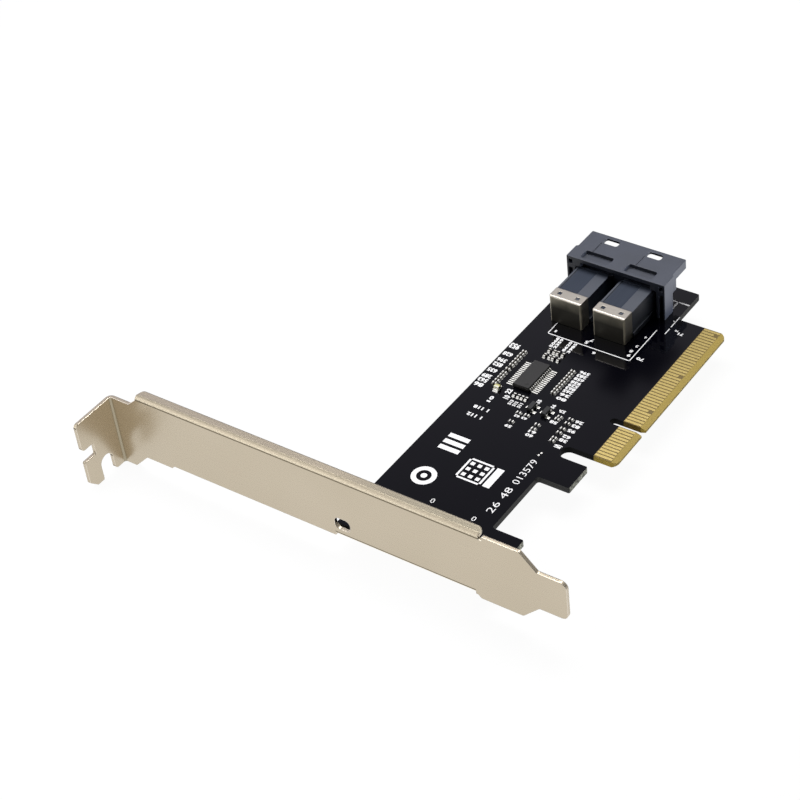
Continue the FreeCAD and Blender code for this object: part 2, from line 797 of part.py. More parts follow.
def gull_wing(x, root_y, side, width, reach, foot, shoulder, height, thickness):
    """One bent lead: out of the body, down and along the board."""
    bend_y = reach - foot
    outline = [(0.0, height), (shoulder, height), (bend_y, thickness), (reach, thickness),
               (reach, 0.0), (bend_y - thickness / 2, 0.0), (shoulder - thickness / 2, height - thickness),
               (0.0, height - thickness)]
    corners = [(root_y + side * out, up, 0.0) for out, up in outline]
    return outline_face(corners, on_yz(x - width / 2)).extrude(Vector(width, 0, 0))


def clock_chip_body():
    high_z = chip_standoff + chip_height
    body = drafted_body(chip_x, chip_y, chip_length, chip_width, chip_standoff, high_z, chip_draft)
    dimple_x = chip_x - chip_length / 2 + chip_dimple_inset
    dimple_y = chip_y - chip_width / 2 + chip_dimple_inset
    return body.cut(cylinder(dimple_x, dimple_y, (high_z - chip_dimple_depth, high_z), chip_dimple_radius))


def clock_chip_leads():
    middle_z = chip_standoff + chip_height / 2
    height = middle_z + lead_thickness / 2
    inset = chip_draft * lead_thickness / chip_height
    leads = []
    for side in (-1, 1):
        for index in range(leads_per_side):
            x = chip_x + (index - (leads_per_side - 1) / 2) * lead_pitch
            root_y = chip_y + side * chip_width / 2
            leads.append(gull_wing(x, root_y, side, lead_width, lead_reach, lead_foot, lead_shoulder + inset,
                                   height, lead_thickness))
    return group(leads)


def transistor_places():
    first_y = shoulder_y + transistor_first_rise
    return ((transistor_x, first_y), (transistor_x, first_y - transistor_spacing))


def transistor_bodies():
    low_z = chip_standoff
    high_z = low_z + transistor_height
    return group([drafted_body(x, y, transistor_length, transistor_width, low_z, high_z, chip_draft)
                  for x, y in transistor_places()])


def transistor_leads():
    height = chip_standoff + transistor_height / 2 + lead_thickness / 2
    leads = []
    for x, y in transistor_places():
        half = transistor_width / 2
        spread = transistor_lead_spacing / 2
        for lead_x, side in ((x, 1), (x - spread, -1), (x + spread, -1)):
            leads.append(gull_wing(lead_x, y + side * half, side, transistor_lead_width,
                                   transistor_lead_reach, transistor_lead_foot, lead_thickness,
                                   height, lead_thickness))
    return group(leads)


def status_light_places():
    y = shoulder_y + light_rise
    return around(light_x, light_length), around(y, light_width)


def status_light_base():
    x_range, y_range = status_light_places()
    inner_x = (x_range[0] + light_terminal, x_range[1] - light_terminal)
    return cuboid(inner_x, y_range, (0.0, light_base_height))


def status_light_lens():
    x_range, y_range = status_light_places()
    low = (x_range[0] + light_terminal, x_range[1] - light_terminal)
    high = (low[0] + light_lens_draft, low[1] - light_lens_draft)
    top_z = light_base_height + light_lens_height
    profile = [(low[0], light_base_height, 0.0), (low[1], light_base_height, 0.0),
               (high[1], top_z, light_lens_draft), (high[0], top_z, light_lens_draft)]
    return outline_face(profile, on_xz(y_range[0])).extrude(Vector(0, light_width, 0))


def status_light_terminals():
    x_range, y_range = status_light_places()
    ends = ((x_range[0], x_range[0] + light_terminal), (x_range[1] - light_terminal, x_range[1]))
    return group([cuboid(end, y_range, (0.0, light_base_height)) for end in ends])


# Small chip parts

def chip_part_body(x, y, along_x, height):
    inner = chip_part_length - 2 * terminal_length
    length, width = (inner, chip_part_width) if along_x else (chip_part_width, inner)
    z_range = (terminal_wrap, height)
    return cuboid(around(x, length), around(y, width), z_range)


def chip_part_terminals(x, y, along_x, height):
    """Plated end caps, a little proud of the ceramic body on every side."""
    offset = (chip_part_length - terminal_length) / 2
    width = chip_part_width + 2 * terminal_wrap
    caps = []
    for side in (-1, 1):
        centre_x = x + side * offset if along_x else x
        centre_y = y if along_x else y + side * offset
        size_x = terminal_length if along_x else width
        size_y = width if along_x else terminal_length
        z_range = (0.0, height + terminal_wrap)
        caps.append(cuboid(around(centre_x, size_x), around(centre_y, size_y), z_range))
    return caps


def chip_part_row(places, along_x, height):
    """Bodies and terminals of a row of chip parts, as two groups."""
    bodies = [chip_part_body(x, y, along_x, height) for x, y in places]
    terminals = []
    for x, y in places:
        terminals += chip_part_terminals(x, y, along_x, height)
    return group(bodies), group(terminals)


def chip_part_rows():
    """Every row by name: its places, whether its parts lie along X, and their height."""
    upper_y = shoulder_y + upper_row_rise
    lower_y = shoulder_y + lower_row_rise
    lower_xs = [lower_row_first_x + index * lower_row_pitch for index in range(lower_row_count)]
    pair_places = [(x, shoulder_y + rise) for rise in pair_row_rises for x in pair_columns]
    pull_up_places = [(pull_up_x, shoulder_y + rise) for rise in pull_up_rises]
    strap_spots = [(x, shoulder_y + rise) for x, rise in strap_places]
    shoulder_row_y = shoulder_y + shoulder_row_rise
    return {
        "upper_capacitor": ([(x, upper_y) for x in upper_row_xs], False, capacitor_height),
        "lower_capacitor": ([(x, lower_y) for x in lower_xs], False, capacitor_height),
        "port_capacitor": (pair_places, True, capacitor_height),
        "pull_up_resistor": (pull_up_places, True, resistor_height),
        "strap_resistor": (strap_spots, False, resistor_height),
        "shoulder_resistor": ([(x, shoulder_row_y) for x in shoulder_row_xs], False, resistor_height),
    }


# Every piece by its node name

pieces = {
    "circuit_board": circuit_board(),
    "edge_fingers_component_side": edge_fingers(0.0, finger_thickness, short_fingers_front),
    "edge_fingers_solder_side": edge_fingers(-board_thickness, -finger_thickness, short_fingers_back),
    "slot_bracket": slot_bracket(),
    "bracket_screws": group([bracket_screw(x, y) for x, y in screw_places]),
    "port_housing": port_housing(),
    "clock_chip_body": clock_chip_body(),
    "clock_chip_leads": clock_chip_leads(),
    "transistor_bodies": transistor_bodies(),
    "transistor_leads": transistor_leads(),
    "status_light_base": status_light_base(),
    "status_light_lens": status_light_lens(),
    "status_light_terminals": status_light_terminals(),
}
for port_name, port_y in zip(("upper", "lower"), port_ys):
    pieces[port_name + "_contact_module"] = contact_module(port_y)
    pieces[port_name + "_module_end_cap"] = module_end_cap(port_y)
    pieces[port_name + "_port_contacts"] = port_contacts(port_y)
    pieces[port_name + "_port_tails"] = port_tails(port_y)
for row_name, (places, along_x, height) in chip_part_rows().items():
    row_bodies, row_terminals = chip_part_row(places, along_x, height)
    pieces[row_name + "_bodies"] = row_bodies
    pieces[row_name + "_terminals"] = row_terminals

os.makedirs("parts", exist_ok=True)
for node_name, shape in pieces.items():
    shape.exportStep(os.path.join("parts", node_name + ".step"))
    print(node_name, len(shape.Solids), "solids", round(shape.Volume, 3), "mm3", shape.isValid())
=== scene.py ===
# %% [markdown]
# # A drive adapter card in Blender
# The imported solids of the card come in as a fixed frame: board, bracket, connector, chip and the small
# parts. This lesson dresses them. It gives every solid a finish built from shader nodes, and adds what is
# too thin for a solid model: solder, printed marks and a few bare test pads. Sizes are written in
# millimetres and turned to metres once.

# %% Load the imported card
import math

import bmesh
import bpy
from mathutils import Euler, Matrix, Vector


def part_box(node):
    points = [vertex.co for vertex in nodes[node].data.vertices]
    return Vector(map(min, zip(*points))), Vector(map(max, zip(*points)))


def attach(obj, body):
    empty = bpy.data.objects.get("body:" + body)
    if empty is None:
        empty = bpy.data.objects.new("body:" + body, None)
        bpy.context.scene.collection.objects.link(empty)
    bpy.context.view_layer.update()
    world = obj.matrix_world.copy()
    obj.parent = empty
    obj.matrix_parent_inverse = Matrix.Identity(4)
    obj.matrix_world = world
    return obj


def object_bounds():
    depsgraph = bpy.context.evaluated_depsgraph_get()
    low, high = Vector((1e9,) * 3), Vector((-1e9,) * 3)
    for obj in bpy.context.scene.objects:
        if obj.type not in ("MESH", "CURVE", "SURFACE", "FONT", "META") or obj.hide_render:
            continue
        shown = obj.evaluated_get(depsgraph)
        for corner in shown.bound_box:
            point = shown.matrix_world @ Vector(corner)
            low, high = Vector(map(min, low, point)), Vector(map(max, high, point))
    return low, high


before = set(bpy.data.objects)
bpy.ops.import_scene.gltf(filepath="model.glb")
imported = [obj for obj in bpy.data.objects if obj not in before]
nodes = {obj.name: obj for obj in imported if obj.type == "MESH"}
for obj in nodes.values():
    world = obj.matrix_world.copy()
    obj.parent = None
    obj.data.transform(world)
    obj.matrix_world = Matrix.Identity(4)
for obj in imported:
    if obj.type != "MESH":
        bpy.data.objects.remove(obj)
cad_low, cad_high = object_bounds()
MM = 0.001
print("nodes:", len(nodes), "box in mm:", [round(v / MM, 1) for v in (*cad_low, *cad_high)])

# %% [markdown]
# ## Camera
# The photograph looks down on the card from in front of the bracket. A long lens keeps the far connector
# from shrinking much. The card sits to the left of the lens axis, so a shift moves the frame instead of
# turning the camera, and upright edges keep the lean that the photograph gives them.

# %% Camera
camera_place = (-289.71, -173.29, 295.99)
camera_angles = (50.2078, 4.0513, -57.0319)
camera_data = bpy.data.cameras.new("camera")
camera_data.sensor_width = 36.0
camera_data.lens = 90.466
camera_data.shift_x = -0.1185
camera_data.shift_y = -0.0180
camera_data.clip_start = 0.01
camera_data.clip_end = 20.0
camera = bpy.data.objects.new("camera", camera_data)
camera.location = Vector(camera_place) * MM
camera.rotation_euler = Euler([math.radians(angle) for angle in camera_angles])
scene = bpy.context.scene
scene.collection.objects.link(camera)
scene.camera = camera
scene.view_settings.view_transform = "Standard"
print("camera at", [round(v, 3) for v in camera.location])

# %% [markdown]
# ## Colours and scales
# Colours are written as the hex values an eye would pick from a screen. A shader wants linear light, so
# one function converts them. A pattern is given by the real width of one of its features, and a second
# function turns that into a texture scale, so grain and streaks come out at the right size on every piece.

# %% Colours and scales
def linear(hex_colour):
    """An sRGB hex colour as linear red, green, blue and alpha."""
    channels = [int(hex_colour[at:at + 2], 16) / 255 for at in (1, 3, 5)]
    return tuple(c / 12.92 if c <= 0.04045 else ((c + 0.055) / 1.055) ** 2.4 for c in channels) + (1.0,)


def per_mm(size):
    """Texture scale at which one feature is that many millimetres wide."""
    return 1.0 / (size * MM)


print("white is", linear("#ffffff"), "and a scale for 1 mm is", per_mm(1.0))

# %% [markdown]
# ## Adding shader nodes
# A finish is a web of nodes, and most of the typing would be links. Here a dictionary says what goes into
# a node: a plain value, a hex colour, a socket, or another node, which stands for its first live output. A
# Mix node has sockets for every kind of value, so the two that take colours are found by number, and get
# names.

# %% Helpers for finishes
COLOUR_A = 6
COLOUR_B = 7


def feed(tree, node, inputs):
    """Set inputs to values or hex colours, or link them to sockets or to a node's first live output."""
    for name, source in inputs.items():
        if isinstance(source, bpy.types.Node):
            source = next(socket for socket in source.outputs if socket.enabled)
        if isinstance(source, bpy.types.NodeSocket):
            tree.links.new(source, node.inputs[name])
        else:
            node.inputs[name].default_value = linear(source) if isinstance(source, str) else source


def put(tree, kind, inputs=None, **settings):
    """Add a shader node of that kind: settings are its properties, inputs what feeds it."""
    node = tree.nodes.new("ShaderNode" + kind)
    for name, value in settings.items():
        setattr(node, name, value)
    feed(tree, node, inputs or {})
    return node


def start_finish(name):
    """A new material with its shader and the object's own coordinates."""
    material = bpy.data.materials.new(name)
    material.use_nodes = True
    tree = material.node_tree
    shader = tree.nodes["Principled BSDF"]
    place = put(tree, "TexCoord").outputs["Object"]
    return material, tree, shader, place


def mottled_finish(name, feature, detail, hex_a, hex_b):
    """A new material whose colour wavers between two tones, over features of that many millimetres."""
    material, tree, shader, place = start_finish(name)
    noise = put(tree, "TexNoise", {"Vector": place, "Scale": per_mm(feature), "Detail": detail})
    tone = put(tree, "Mix", {0: noise, COLOUR_A: hex_a, COLOUR_B: hex_b}, data_type="RGBA")
    feed(tree, shader, {"Base Color": tone})
    return material, tree, shader, noise


print("helpers:", feed.__name__, put.__name__, start_finish.__name__, mottled_finish.__name__)

# %% [markdown]
# ## Black solder mask: places on the board
# The board is glass-fibre laminate under a glossy black lacquer, the solder mask. The lacquer stops short
# of the edge fingers, where olive laminate shows, and routed edges show the glass cloth. Faces could get
# materials one by one, but the solid comes as loose triangles. So one finish covers it all, and the place
# of a point and the way its face points choose between lacquer, bare laminate and cut edge.

# %% Places on the board
mask_end_y = 5.75
bare_near_x = -12.3
bevel_top_y = 1.32
slot_middle_x = -14.05
slot_reach = 2.1
notch_reach = 1.05
end_face_x = -11.8
# To the eye: a black mirror, dull grey where it was cut and dull olive where it is bare.
solder_mask, tree, shader, place = start_finish("black_solder_mask_on_laminate")
where = put(tree, "SeparateXYZ", {0: place})
normal = put(tree, "NewGeometry").outputs["Normal"]
facing = put(tree, "SeparateXYZ", {0: normal})
level = put(tree, "Math", {0: facing.outputs["Z"]}, operation="ABSOLUTE")
cut_edge = put(tree, "Math", {0: level, 1: 0.5}, operation="LESS_THAN")
below_mask = put(tree, "Math", {0: where.outputs["Y"], 1: mask_end_y * MM}, operation="LESS_THAN")
on_tongue = put(tree, "Math", {0: where.outputs["X"], 1: bare_near_x * MM}, operation="GREATER_THAN")
bare = put(tree, "Math", {0: below_mask, 1: on_tongue}, operation="MULTIPLY")
on_bevel = put(tree, "Math", {0: where.outputs["Y"], 1: bevel_top_y * MM}, operation="LESS_THAN")
snapped = put(tree, "Math", {0: facing.outputs["Y"], 1: -0.9}, operation="LESS_THAN")
low_edge = put(tree, "Math", {0: below_mask, 1: snapped}, operation="MULTIPLY")
in_slot = put(tree, "Math", {0: where.outputs["X"], 1: slot_middle_x * MM, 2: slot_reach * MM},
              operation="COMPARE")
in_notch = put(tree, "Math", {0: where.outputs["X"], 1: 0.0, 2: notch_reach * MM}, operation="COMPARE")
shaded_gap = put(tree, "Math", {0: in_slot, 1: in_notch}, operation="MAXIMUM")
past_end = put(tree, "Math", {0: where.outputs["X"], 1: end_face_x * MM}, operation="LESS_THAN")
end_face = put(tree, "Math", {0: past_end, 1: cut_edge}, operation="MULTIPLY")
sanded = put(tree, "Math", {0: on_bevel, 1: end_face}, operation="MAXIMUM")
print(solder_mask.name, "tells places apart with", len(tree.nodes), "nodes")

# %% [markdown]
# ## Black solder mask: its surfaces
# Lacquer flows a little unevenly over the copper, in patches of some millimetres. Bare laminate has a fine
# glass grain and is paler where it was sanded to a bevel. Glass cloth lies in layers some tenths of a
# millimetre apart, and an edge that was snapped tears it into upright tufts. Photographs of each could be
# mapped on, but a noise between two colours is enough at this size, and it has no seams.

# %% Lacquer, laminate and edges
layer_pitch = 0.4145
# A wave texture draws this many bands in one unit of its scale.
bands_per_unit = 20 / math.tau
flow = put(tree, "TexNoise", {"Vector": place, "Scale": per_mm(6.0), "Detail": 3.0})
fibre = put(tree, "TexNoise", {"Vector": place, "Scale": per_mm(0.22), "Detail": 4.0, "Roughness": 0.7})
layers = put(tree, "TexWave", {"Vector": place, "Scale": per_mm(layer_pitch) / bands_per_unit,
                               "Distortion": 0.6, "Detail": 1.0}, bands_direction="Z")
lacquer = put(tree, "Mix", {0: flow, COLOUR_A: "#020206", COLOUR_B: "#04040a"}, data_type="RGBA")
laminate = put(tree, "Mix", {0: fibre, COLOUR_A: "#54441a", COLOUR_B: "#836d2f"}, data_type="RGBA")
bevelled = put(tree, "Mix", {0: fibre, COLOUR_A: "#9c8638", COLOUR_B: "#c4ab58"}, data_type="RGBA")
routed = put(tree, "Mix", {0: layers, COLOUR_A: "#141413", COLOUR_B: "#252523"}, data_type="RGBA")
torn = put(tree, "Mapping", {"Vector": place, "Scale": (1.0, 1.0, 0.3)})
tufts = put(tree, "TexNoise", {"Vector": torn, "Scale": per_mm(0.45), "Detail": 4.0, "Roughness": 0.7})
tuft = put(tree, "MapRange", {"Value": tufts, "From Min": 0.4, "From Max": 0.62})
rough_end = put(tree, "Mix", {0: tuft, COLOUR_A: "#30312a", COLOUR_B: "#cfd1c0"}, data_type="RGBA")
print("surfaces:", lacquer.name, laminate.name, bevelled.name, routed.name, rough_end.name)

# %% [markdown]
# ## Black solder mask: putting it together
# Each place now takes its surface. The walls of the slot and of the key notch are painted near-black with
# little shine, painted shade as deep as the shade inside those narrow gaps. Lacquer is smooth and mirrors
# the room, and everything else is dull, so one mask drives colour, roughness and bump together and the
# change from one surface to the next stays sharp.

# %% Board finish
# Painted shade: the walls of the slot and key notch take a near-black colour.
edge = put(tree, "Mix", {0: shaded_gap, COLOUR_A: routed, COLOUR_B: "#070708"}, data_type="RGBA")
tongue = put(tree, "Mix", {0: sanded, COLOUR_A: laminate, COLOUR_B: bevelled}, data_type="RGBA")
side = put(tree, "Mix", {0: low_edge, COLOUR_A: edge, COLOUR_B: rough_end}, data_type="RGBA")
masked = put(tree, "Mix", {0: cut_edge, COLOUR_A: lacquer, COLOUR_B: side}, data_type="RGBA")
colour = put(tree, "Mix", {0: bare, COLOUR_A: masked, COLOUR_B: tongue}, data_type="RGBA")
dull = put(tree, "Math", {0: bare, 1: cut_edge}, operation="MAXIMUM")
roughness = put(tree, "MapRange", {"Value": dull, "To Min": 0.05, "To Max": 0.55})
grain = put(tree, "Math", {0: fibre, 1: dull}, operation="MULTIPLY")
relief = put(tree, "Bump", {"Height": grain, "Strength": 0.4, "Distance": 0.05 * MM})
# Painted shade: the walls of the slot and key notch lose most of their shine.
shaded_gap_wall = put(tree, "Math", {0: shaded_gap, 1: cut_edge}, operation="MULTIPLY")
edge_shine = put(tree, "MapRange", {"Value": cut_edge, "To Min": 0.5, "To Max": 0.3})
shaded_gap_gloss = put(tree, "MapRange", {"Value": shaded_gap_wall, "To Min": 1.0, "To Max": 0.2})
shine = put(tree, "Math", {0: edge_shine, 1: shaded_gap_gloss}, operation="MULTIPLY")
feed(tree, shader, {"Base Color": colour, "Specular IOR Level": shine, "Roughness": roughness,
                    "Normal": relief})
print(solder_mask.name, "has", len(tree.nodes), "nodes")

# %% [markdown]
# ## Hard gold
# The edge fingers are hard gold over nickel. Every insertion wipes them, so fine marks run along the
# finger. A polished gold would flash white or go dark with the light. Here a noise, stretched along the
# fingers, moves both colour and roughness, and the gold keeps an even satin glow.

# %% Hard gold
# To the eye: a pale, soft yellow metal with marks that all run one way.
hard_gold, tree, shader, place = start_finish("hard_gold_plate")
wiped = put(tree, "Mapping", {"Vector": place, "Scale": (1.0, 0.08, 1.0)})
marks = put(tree, "TexNoise", {"Vector": wiped, "Scale": per_mm(0.12), "Detail": 3.0})
tone = put(tree, "Mix", {0: marks, COLOUR_A: "#a89355", COLOUR_B: "#c3b178"}, data_type="RGBA")
polish = put(tree, "MapRange", {"Value": marks, "To Min": 0.42, "To Max": 0.54})
feed(tree, shader, {"Base Color": tone, "Roughness": polish, "Metallic": 1.0})
print(hard_gold.name, "has", len(tree.nodes), "nodes")

# %% [markdown]
# ## Satin nickel on the bracket
# The bracket is rolled steel strip under satin nickel. It has faint streaks along the strip and slow
# clouds from the plating bath. The top of the flange is painted darker towards the tongue, painted shade
# that keeps its reflection even along its length. An anisotropic shader could draw the reflections out,
# but a stretched noise in the roughness shows the streaks from any side.

# %% Rolled strip
# Painted shade on the flange top: where it begins and where it is full, in mm along the card.
flange_shade_from_y = 40.0
flange_shade_to_y = 26.0
tip_y = 4.0
# To the eye: a warm champagne metal with soft reflections.
satin_nickel, tree, shader, place = start_finish("satin_nickel_on_rolled_steel")
rolled = put(tree, "Mapping", {"Vector": place, "Scale": (1.0, 0.03, 1.0)})
streaks = put(tree, "TexNoise", {"Vector": rolled, "Scale": per_mm(0.5), "Detail": 5.0})
satin = put(tree, "MapRange", {"Value": streaks, "To Min": 0.24, "To Max": 0.31})
bath = put(tree, "TexNoise", {"Vector": place, "Scale": per_mm(28.0), "Detail": 2.0})
plate_tone = put(tree, "Mix", {0: bath, COLOUR_A: "#bfb39d", COLOUR_B: "#cabeaa"}, data_type="RGBA")
flat = put(tree, "NewGeometry").outputs["Normal"]
facing = put(tree, "SeparateXYZ", {0: flat})
along = put(tree, "SeparateXYZ", {0: place})
near_tongue = put(tree, "MapRange", {"Value": along.outputs["Y"], "From Min": flange_shade_from_y * MM,
                                     "From Max": flange_shade_to_y * MM})
on_flange = put(tree, "Math", {0: facing.outputs["Z"], 1: 0.9}, operation="GREATER_THAN")
short_of_tip = put(tree, "Math", {0: along.outputs["Y"], 1: tip_y * MM}, operation="GREATER_THAN")
shaded_flange_top = put(tree, "Math", {0: near_tongue, 1: on_flange}, operation="MULTIPLY")
flange_shade = put(tree, "Math", {0: shaded_flange_top, 1: short_of_tip}, operation="MULTIPLY")
# Painted shade: the flange top takes a darker tone towards the tongue.
tone = put(tree, "Mix", {0: flange_shade, COLOUR_A: plate_tone, COLOUR_B: "#ada490"}, data_type="RGBA")
print(satin_nickel.name, "starts with", len(tree.nodes), "nodes")

# %% [markdown]
# ## Bends of the bracket
# Folding stretches the plating, and along the bend of the flange it is matt. The colour across the bend
# is painted light: darker where the bend begins, a painted highlight further down, and a painted dark
# line in the crease beside the plate, the reflection of a dark horizon. The inner fold of the ear gets
# painted shade. A bend is where a normal leans between two axes, so the product of two of its parts finds
# it, and a ramp over the lean lays the light out.

# %% Bends of the bracket
bend = put(tree, "Math", {0: facing.outputs["X"], 1: facing.outputs["Z"]}, operation="MULTIPLY")
bent = put(tree, "Math", {0: bend}, operation="ABSOLUTE")
matt = put(tree, "MapRange", {"Value": bent, "From Min": 0.01, "From Max": 0.12, "To Max": 0.3})
roughness = put(tree, "Math", {0: satin, 1: matt}, operation="ADD")
on_bend = put(tree, "MapRange", {"Value": bent, "From Min": 0.01, "From Max": 0.05})
lean = put(tree, "Math", {0: facing.outputs["X"]}, operation="ABSOLUTE")
# Painted light across the flange bend: a painted highlight and a painted dark line, by the lean of the
# normal.
bend_light = put(tree, "ValToRGB", {0: lean})
painted_light_by_lean = ((0.1, "#8c8473"), (0.36, "#938a79"), (0.52, "#b6ab97"), (0.66, "#c5baa5"),
                (0.78, "#e5d9c1"), (0.89, "#fff4dd"), (0.94, "#e0d3bb"), (0.97, "#847a67"))
stops = bend_light.color_ramp.elements
stops[0].color = linear("#a89e8c")
stops[1].color = linear("#847a67")
for amount, hex_colour in painted_light_by_lean:
    stops.new(amount).color = linear(hex_colour)
ear_fold = put(tree, "Math", {0: facing.outputs["X"], 1: facing.outputs["Y"]}, operation="MULTIPLY")
inner = put(tree, "Math", {0: ear_fold}, operation="ABSOLUTE")
# Painted shade in the inner fold of the ear.
fold_shade = put(tree, "MapRange", {"Value": inner, "From Min": 0.02, "From Max": 0.12})
# Painted light: the stops of the ramp across the bend.
print("wear has", len(stops), "stops")

# %% [markdown]
# ## Edges of the bracket
# The press rolls the edge of the sheet round, so it catches a bright line of light. The solid is sharp
# there. Its mesh could be bevelled, but a Bevel node rounds it for the light alone and leaves the solid as
# it is. Where the rounded normal leaves the flat one there is an edge, which gets a pale painted highlight.
# Slanting cuts were sheared, not rolled: they are frosted and scatter the light.

# %% Edges of the bracket
rolled_edge = put(tree, "Bevel", {"Radius": 0.3 * MM}, samples=6)
same = put(tree, "VectorMath", {0: rolled_edge, 1: flat}, operation="DOT_PRODUCT")
# Painted highlight: near-white along the edges of the sheet.
edge_highlight = put(tree, "MapRange", {"Value": same, "From Min": 0.95, "From Max": 0.75})
highlighted_edges = put(tree, "Mix", {0: edge_highlight, COLOUR_A: tone, COLOUR_B: "#f6eee2"}, data_type="RGBA")
folded = put(tree, "Mix", {0: on_bend, COLOUR_A: highlighted_edges, COLOUR_B: bend_light}, data_type="RGBA")
# Painted shade: the inner fold of the ear takes a darker brown.
plated = put(tree, "Mix", {0: fold_shade, COLOUR_A: folded, COLOUR_B: "#a59b85"}, data_type="RGBA")
grain = put(tree, "Bump", {"Height": streaks, "Strength": 0.03, "Distance": 0.05 * MM,
                           "Normal": rolled_edge})
slant = put(tree, "Math", {0: facing.outputs["Y"], 1: facing.outputs["Z"]}, operation="MULTIPLY")
slanting = put(tree, "Math", {0: slant}, operation="ABSOLUTE")
frosted = put(tree, "MapRange", {"Value": slanting, "From Min": 0.1, "From Max": 0.3, "To Min": 1.0,
                                 "To Max": 0.3})
feed(tree, shader, {"Base Color": plated, "Roughness": roughness, "Normal": grain, "Metallic": frosted})
print(satin_nickel.name, "has", len(tree.nodes), "nodes")

# %% [markdown]
# ## Bright nickel on the end caps
# Each contact module ends in a cap of nickelled brass strip. Its top keeps the satin of the strip. The
# walls are painted dark with a painted reflection that brightens towards the top, clouded by a noise,
# and the sides that face across the card get a paler tone, painted light. A plain mirror would show the
# room and nothing of that, so the height and the way a face points grade the tone.

# %% Tops and walls of the caps
# Heights between which the painted reflection on the walls brightens, in mm.
reflection_low_z = 4.4
reflection_high_z = 8.0
# To the eye: a pale satin top over dark, clouded walls with a painted reflection that brightens upwards.
bright_nickel, tree, shader, place = start_finish("bright_nickel_on_brass_sheet")
stain_and_sheen = put(tree, "TexNoise", {"Vector": place, "Scale": per_mm(3.0), "Detail": 3.0})
top_tone = put(tree, "Mix", {0: stain_and_sheen, COLOUR_A: "#bdb6ab", COLOUR_B: "#ccc6bd"}, data_type="RGBA")
where = put(tree, "SeparateXYZ", {0: place})
# Painted reflection: the walls brighten towards the top.
upper = put(tree, "MapRange", {"Value": where.outputs["Z"], "From Min": reflection_low_z * MM,
                               "From Max": reflection_high_z * MM})
clouded = put(tree, "Math", {0: upper, 1: stain_and_sheen}, operation="MULTIPLY")
front_tone = put(tree, "Mix", {0: clouded, COLOUR_A: "#4c4a44", COLOUR_B: "#cfc8b2"}, data_type="RGBA")
normal = put(tree, "NewGeometry").outputs["Normal"]
facing = put(tree, "SeparateXYZ", {0: normal})
on_top = put(tree, "MapRange", {"Value": facing.outputs["Z"], "From Min": 0.1, "From Max": 0.5})
sideways = put(tree, "Math", {0: facing.outputs["Y"]}, operation="ABSOLUTE")
lit_side = put(tree, "MapRange", {"Value": sideways, "From Min": 0.6, "From Max": 0.95})
# Painted light: faces that point across the card take a paler tone.
wall_tone = put(tree, "Mix", {0: lit_side, COLOUR_A: front_tone, COLOUR_B: "#98948a"}, data_type="RGBA")
tone = put(tree, "Mix", {0: on_top, COLOUR_A: wall_tone, COLOUR_B: top_tone}, data_type="RGBA")
polish = put(tree, "MapRange", {"Value": on_top, "To Min": 0.42, "To Max": 0.38})
print(bright_nickel.name, "starts with", len(tree.nodes), "nodes")

# %% [markdown]
# ## Corners of the end caps
# The rounded corners get pale lines, a painted highlight, and lose their metal shine so that the pale
# colour shows. The top of the walls and the sides that face across the card lose a part of their metal
# shine, so that their painted light shows too.

# %% Corners of the caps
folded_edge = put(tree, "Bevel", {"Radius": 0.24 * MM}, samples=8)
corner = put(tree, "Math", {0: facing.outputs["X"], 1: facing.outputs["Y"]}, operation="MULTIPLY")
round_corner = put(tree, "Math", {0: corner}, operation="ABSOLUTE")
# Painted highlight on the rounded corners of the caps.
corner_highlight = put(tree, "MapRange", {"Value": round_corner, "From Min": 0.05, "From Max": 0.3})
highlighted_corners = put(tree, "Mix", {0: corner_highlight, COLOUR_A: tone, COLOUR_B: "#aca693"}, data_type="RGBA")
wall_metal = put(tree, "MapRange", {"Value": upper, "To Min": 1.0, "To Max": 0.6})
corner_metal = put(tree, "MapRange", {"Value": corner_highlight, "To Min": 1.0, "To Max": 0.1})
side_metal = put(tree, "MapRange", {"Value": lit_side, "To Min": 1.0, "To Max": 0.8})
sheet_metal = put(tree, "Math", {0: wall_metal, 1: on_top}, operation="MAXIMUM")
folded_metal = put(tree, "Math", {0: sheet_metal, 1: corner_metal}, operation="MULTIPLY")
metal = put(tree, "Math", {0: folded_metal, 1: side_metal}, operation="MULTIPLY")
feed(tree, shader, {"Base Color": highlighted_corners, "Roughness": polish, "Normal": folded_edge, "Metallic": metal})
print(bright_nickel.name, "has", len(tree.nodes), "nodes")

# %% [markdown]
# ## Tin and zinc
# Leads, terminals and solder carry tin, and the bracket screws a thin coat of zinc. Both freeze in small
# crystals. The crystals could be drawn as cells, but they are finer than a pixel here, so a soft noise
# moves the tone and the roughness.

# %% Tin and zinc
# To the eye: near-white frost that never turns fully dark.
bright_tin, tree, shader, frost = mottled_finish("bright_tin_solder", 0.3, 3.0, "#dddcd6", "#faf9f4")
polish = put(tree, "MapRange", {"Value": frost, "To Min": 0.35, "To Max": 0.55})
feed(tree, shader, {"Roughness": polish, "Metallic": 0.6})
# To the eye: a cool grey metal with a faint spangle.
zinc_steel, tree, shader, spangle = mottled_finish("zinc_on_steel_screw", 0.4, 4.0, "#a9adb0", "#cfd3d6")
polish = put(tree, "MapRange", {"Value": spangle, "To Min": 0.2, "To Max": 0.38})
feed(tree, shader, {"Roughness": polish, "Metallic": 1.0})
print(bright_tin.name, zinc_steel.name)

# %% [markdown]
# ## Nylon of the hood
# The hood over the ports is a heat-resistant nylon, moulded in a tool with a fine spark-eroded skin. The
# side towards the bracket is painted darker with less shine: painted shade. The skin could be displaced,
# but at this size a light bump on a rounded edge does the same for the eye.

